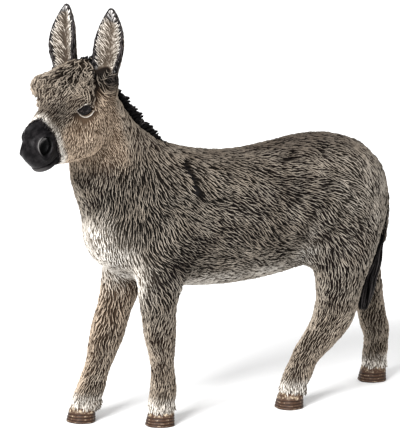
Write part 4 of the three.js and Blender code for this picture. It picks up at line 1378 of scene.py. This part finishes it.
def make_hoof(node):
    low, high = np.array(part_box(node)) / MM
    centre, half = (low + high)[:2] / 2, (high - low)[:2] / 2
    rng = np.random.default_rng(len(node) + int(abs(centre[0])))
    turn = np.arange(HOOF_SIDES) / HOOF_SIDES * 2 * math.pi
    uneven = 0.02 * np.sin(turn * 3 + rng.uniform(0, 6)) + 0.012 * np.sin(turn * 7 + rng.uniform(0, 6))
    corners, crests = [], []
    for z in HOOF_RINGS:
        taper = 1 - 0.045 * z - 0.1 * step(2.2, 3.3, z)
        heel = 1 - 0.1 * np.clip(np.cos(turn), 0, 1) ** 2
        depth = RING_DEPTHS.get(z, 0.0)
        reach = taper * (1 + uneven) - depth / half.mean()
        wave = 0.05 * np.sin(2 * turn + 3 * z) * (0.1 < z < 2.4)
        corners.append(np.stack([centre[0] + half[0] * np.cos(turn) * reach * heel + 0.13 * z,
                                 centre[1] + half[1] * np.sin(turn) * reach, z + wave], axis=1))
        crests.append(np.full(HOOF_SIDES, 1 - depth / DARK_RING if z else 0.2))
    rings = len(HOOF_RINGS)
    index = np.arange(rings * HOOF_SIDES).reshape(rings, HOOF_SIDES)
    after = np.roll(index, -1, axis=1)
    walls = np.stack([index[:-1], after[:-1], after[1:], index[1:]], axis=-1).reshape(-1, 4)
    mesh = bpy.data.meshes.new(node + "_horn")
    corners = np.concatenate(corners)
    caps = [index[0][::-1].tolist(), index[-1].tolist()]
    mesh.from_pydata((corners * MM).tolist(), [], walls.tolist() + caps)
    mesh.polygons.foreach_set("use_smooth", [len(p.vertices) == 4 for p in mesh.polygons])
    mesh.update()
    obj = added(node + "_horn", mesh)
    put_attribute(obj, "lock", np.stack([np.concatenate(crests).clip(0, 1)] * 3, axis=1))
    mesh.materials.append(horn)
    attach(obj, "root")
    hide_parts(node)


def horn_material():
    material, tree, shader = principled("painted horn")
    crest = attribute(tree, "lock")[0]
    uneven = maths(tree, "SUBTRACT", noise(tree, 1300, 4, 0.7), 0.5)
    rubbed = maths(tree, "ADD", crest, maths(tree, "MULTIPLY", uneven, 1.5))
    colour = mixed(tree, ramp(tree, rubbed, 0.0, 0.8), srgb(10, 7, 5), srgb(64, 46, 35))
    colour = mixed(tree, ramp(tree, rubbed, 0.93, 1.4), colour, srgb(196, 178, 152))
    value_into(tree, shader.inputs["Base Color"], colour)
    shader.inputs["Roughness"].default_value = 0.45
    shader.inputs["Specular IOR Level"].default_value = 0.12
    bumped(tree, shader, noise(tree, 2400, 3), 0.05)
    return material


horn = horn_material()
for node in HOOVES:
    make_hoof(node)


# ---- Fetlock fringe -----------------------------------------------------------------------------------
# A skirt of short locks is moulded over the top of each hoof and brushed near-white. Each lock leaves
# the leg a little outwards and ends over the hoof's top edge.

FRINGE_LOCKS = 240            # round one leg
FRINGE_TOP = (3.9, 5.6)       # mm above the floor, where the locks are rooted
FRINGE_LENGTH = 1.8           # mm
FRINGE_RADIUS = 2.2           # mm, of the ring that the roots start from, before they settle on the skin
FRINGE_MARKS = (0.85, 0.0, 0.1, 0.0)  # shares of pale, dark, warm and black


def make_fringe(node):
    low, high = np.array(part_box(node)) / MM
    centre = (low + high)[:2] / 2
    rng = np.random.default_rng(90 + HOOVES.index(node))
    turn = rng.uniform(0, 2 * math.pi, FRINGE_LOCKS)
    away = np.stack([np.cos(turn), np.sin(turn), 0 * turn], axis=1)
    level = rng.uniform(*FRINGE_TOP, FRINGE_LOCKS)
    roots = np.column_stack([centre[0] + 0.5 + FRINGE_RADIUS * away[:, 0],
                             centre[1] + FRINGE_RADIUS * away[:, 1], level])
    roots = settle(settle(roots))
    down = np.tile([0.0, 0.0, -1.0], (FRINGE_LOCKS, 1))
    first = unit(down + away * 0.35 + rng.normal(0, 0.14, roots.shape))
    last = unit(down + away * 0.05 + rng.normal(0, 0.2, roots.shape))
    line = [roots - away * 0.1]
    for before, after in zip(STATIONS, STATIONS[1:]):
        heading = unit(first * (1 - after) + last * after)
        line.append(line[-1] + heading * FRINGE_LENGTH * (after - before))
    line = np.stack(line, axis=1)
    normals = np.repeat(away[:, None], len(STATIONS), axis=1)
    marks = np.tile(FRINGE_MARKS, (FRINGE_LOCKS, 1))
    obj = lock_object("fringe_" + node[5:], line, normals, rng.uniform(0.3, 0.45, FRINGE_LOCKS),
                      np.full(FRINGE_LOCKS, 0.25), rng.uniform(0.2, 1, FRINGE_LOCKS), marks,
                      skin_map(line[:, 0]))
    obj.data.materials.append(coat_paint)
    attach(obj, "root")


for node in HOOVES:
    make_fringe(node)
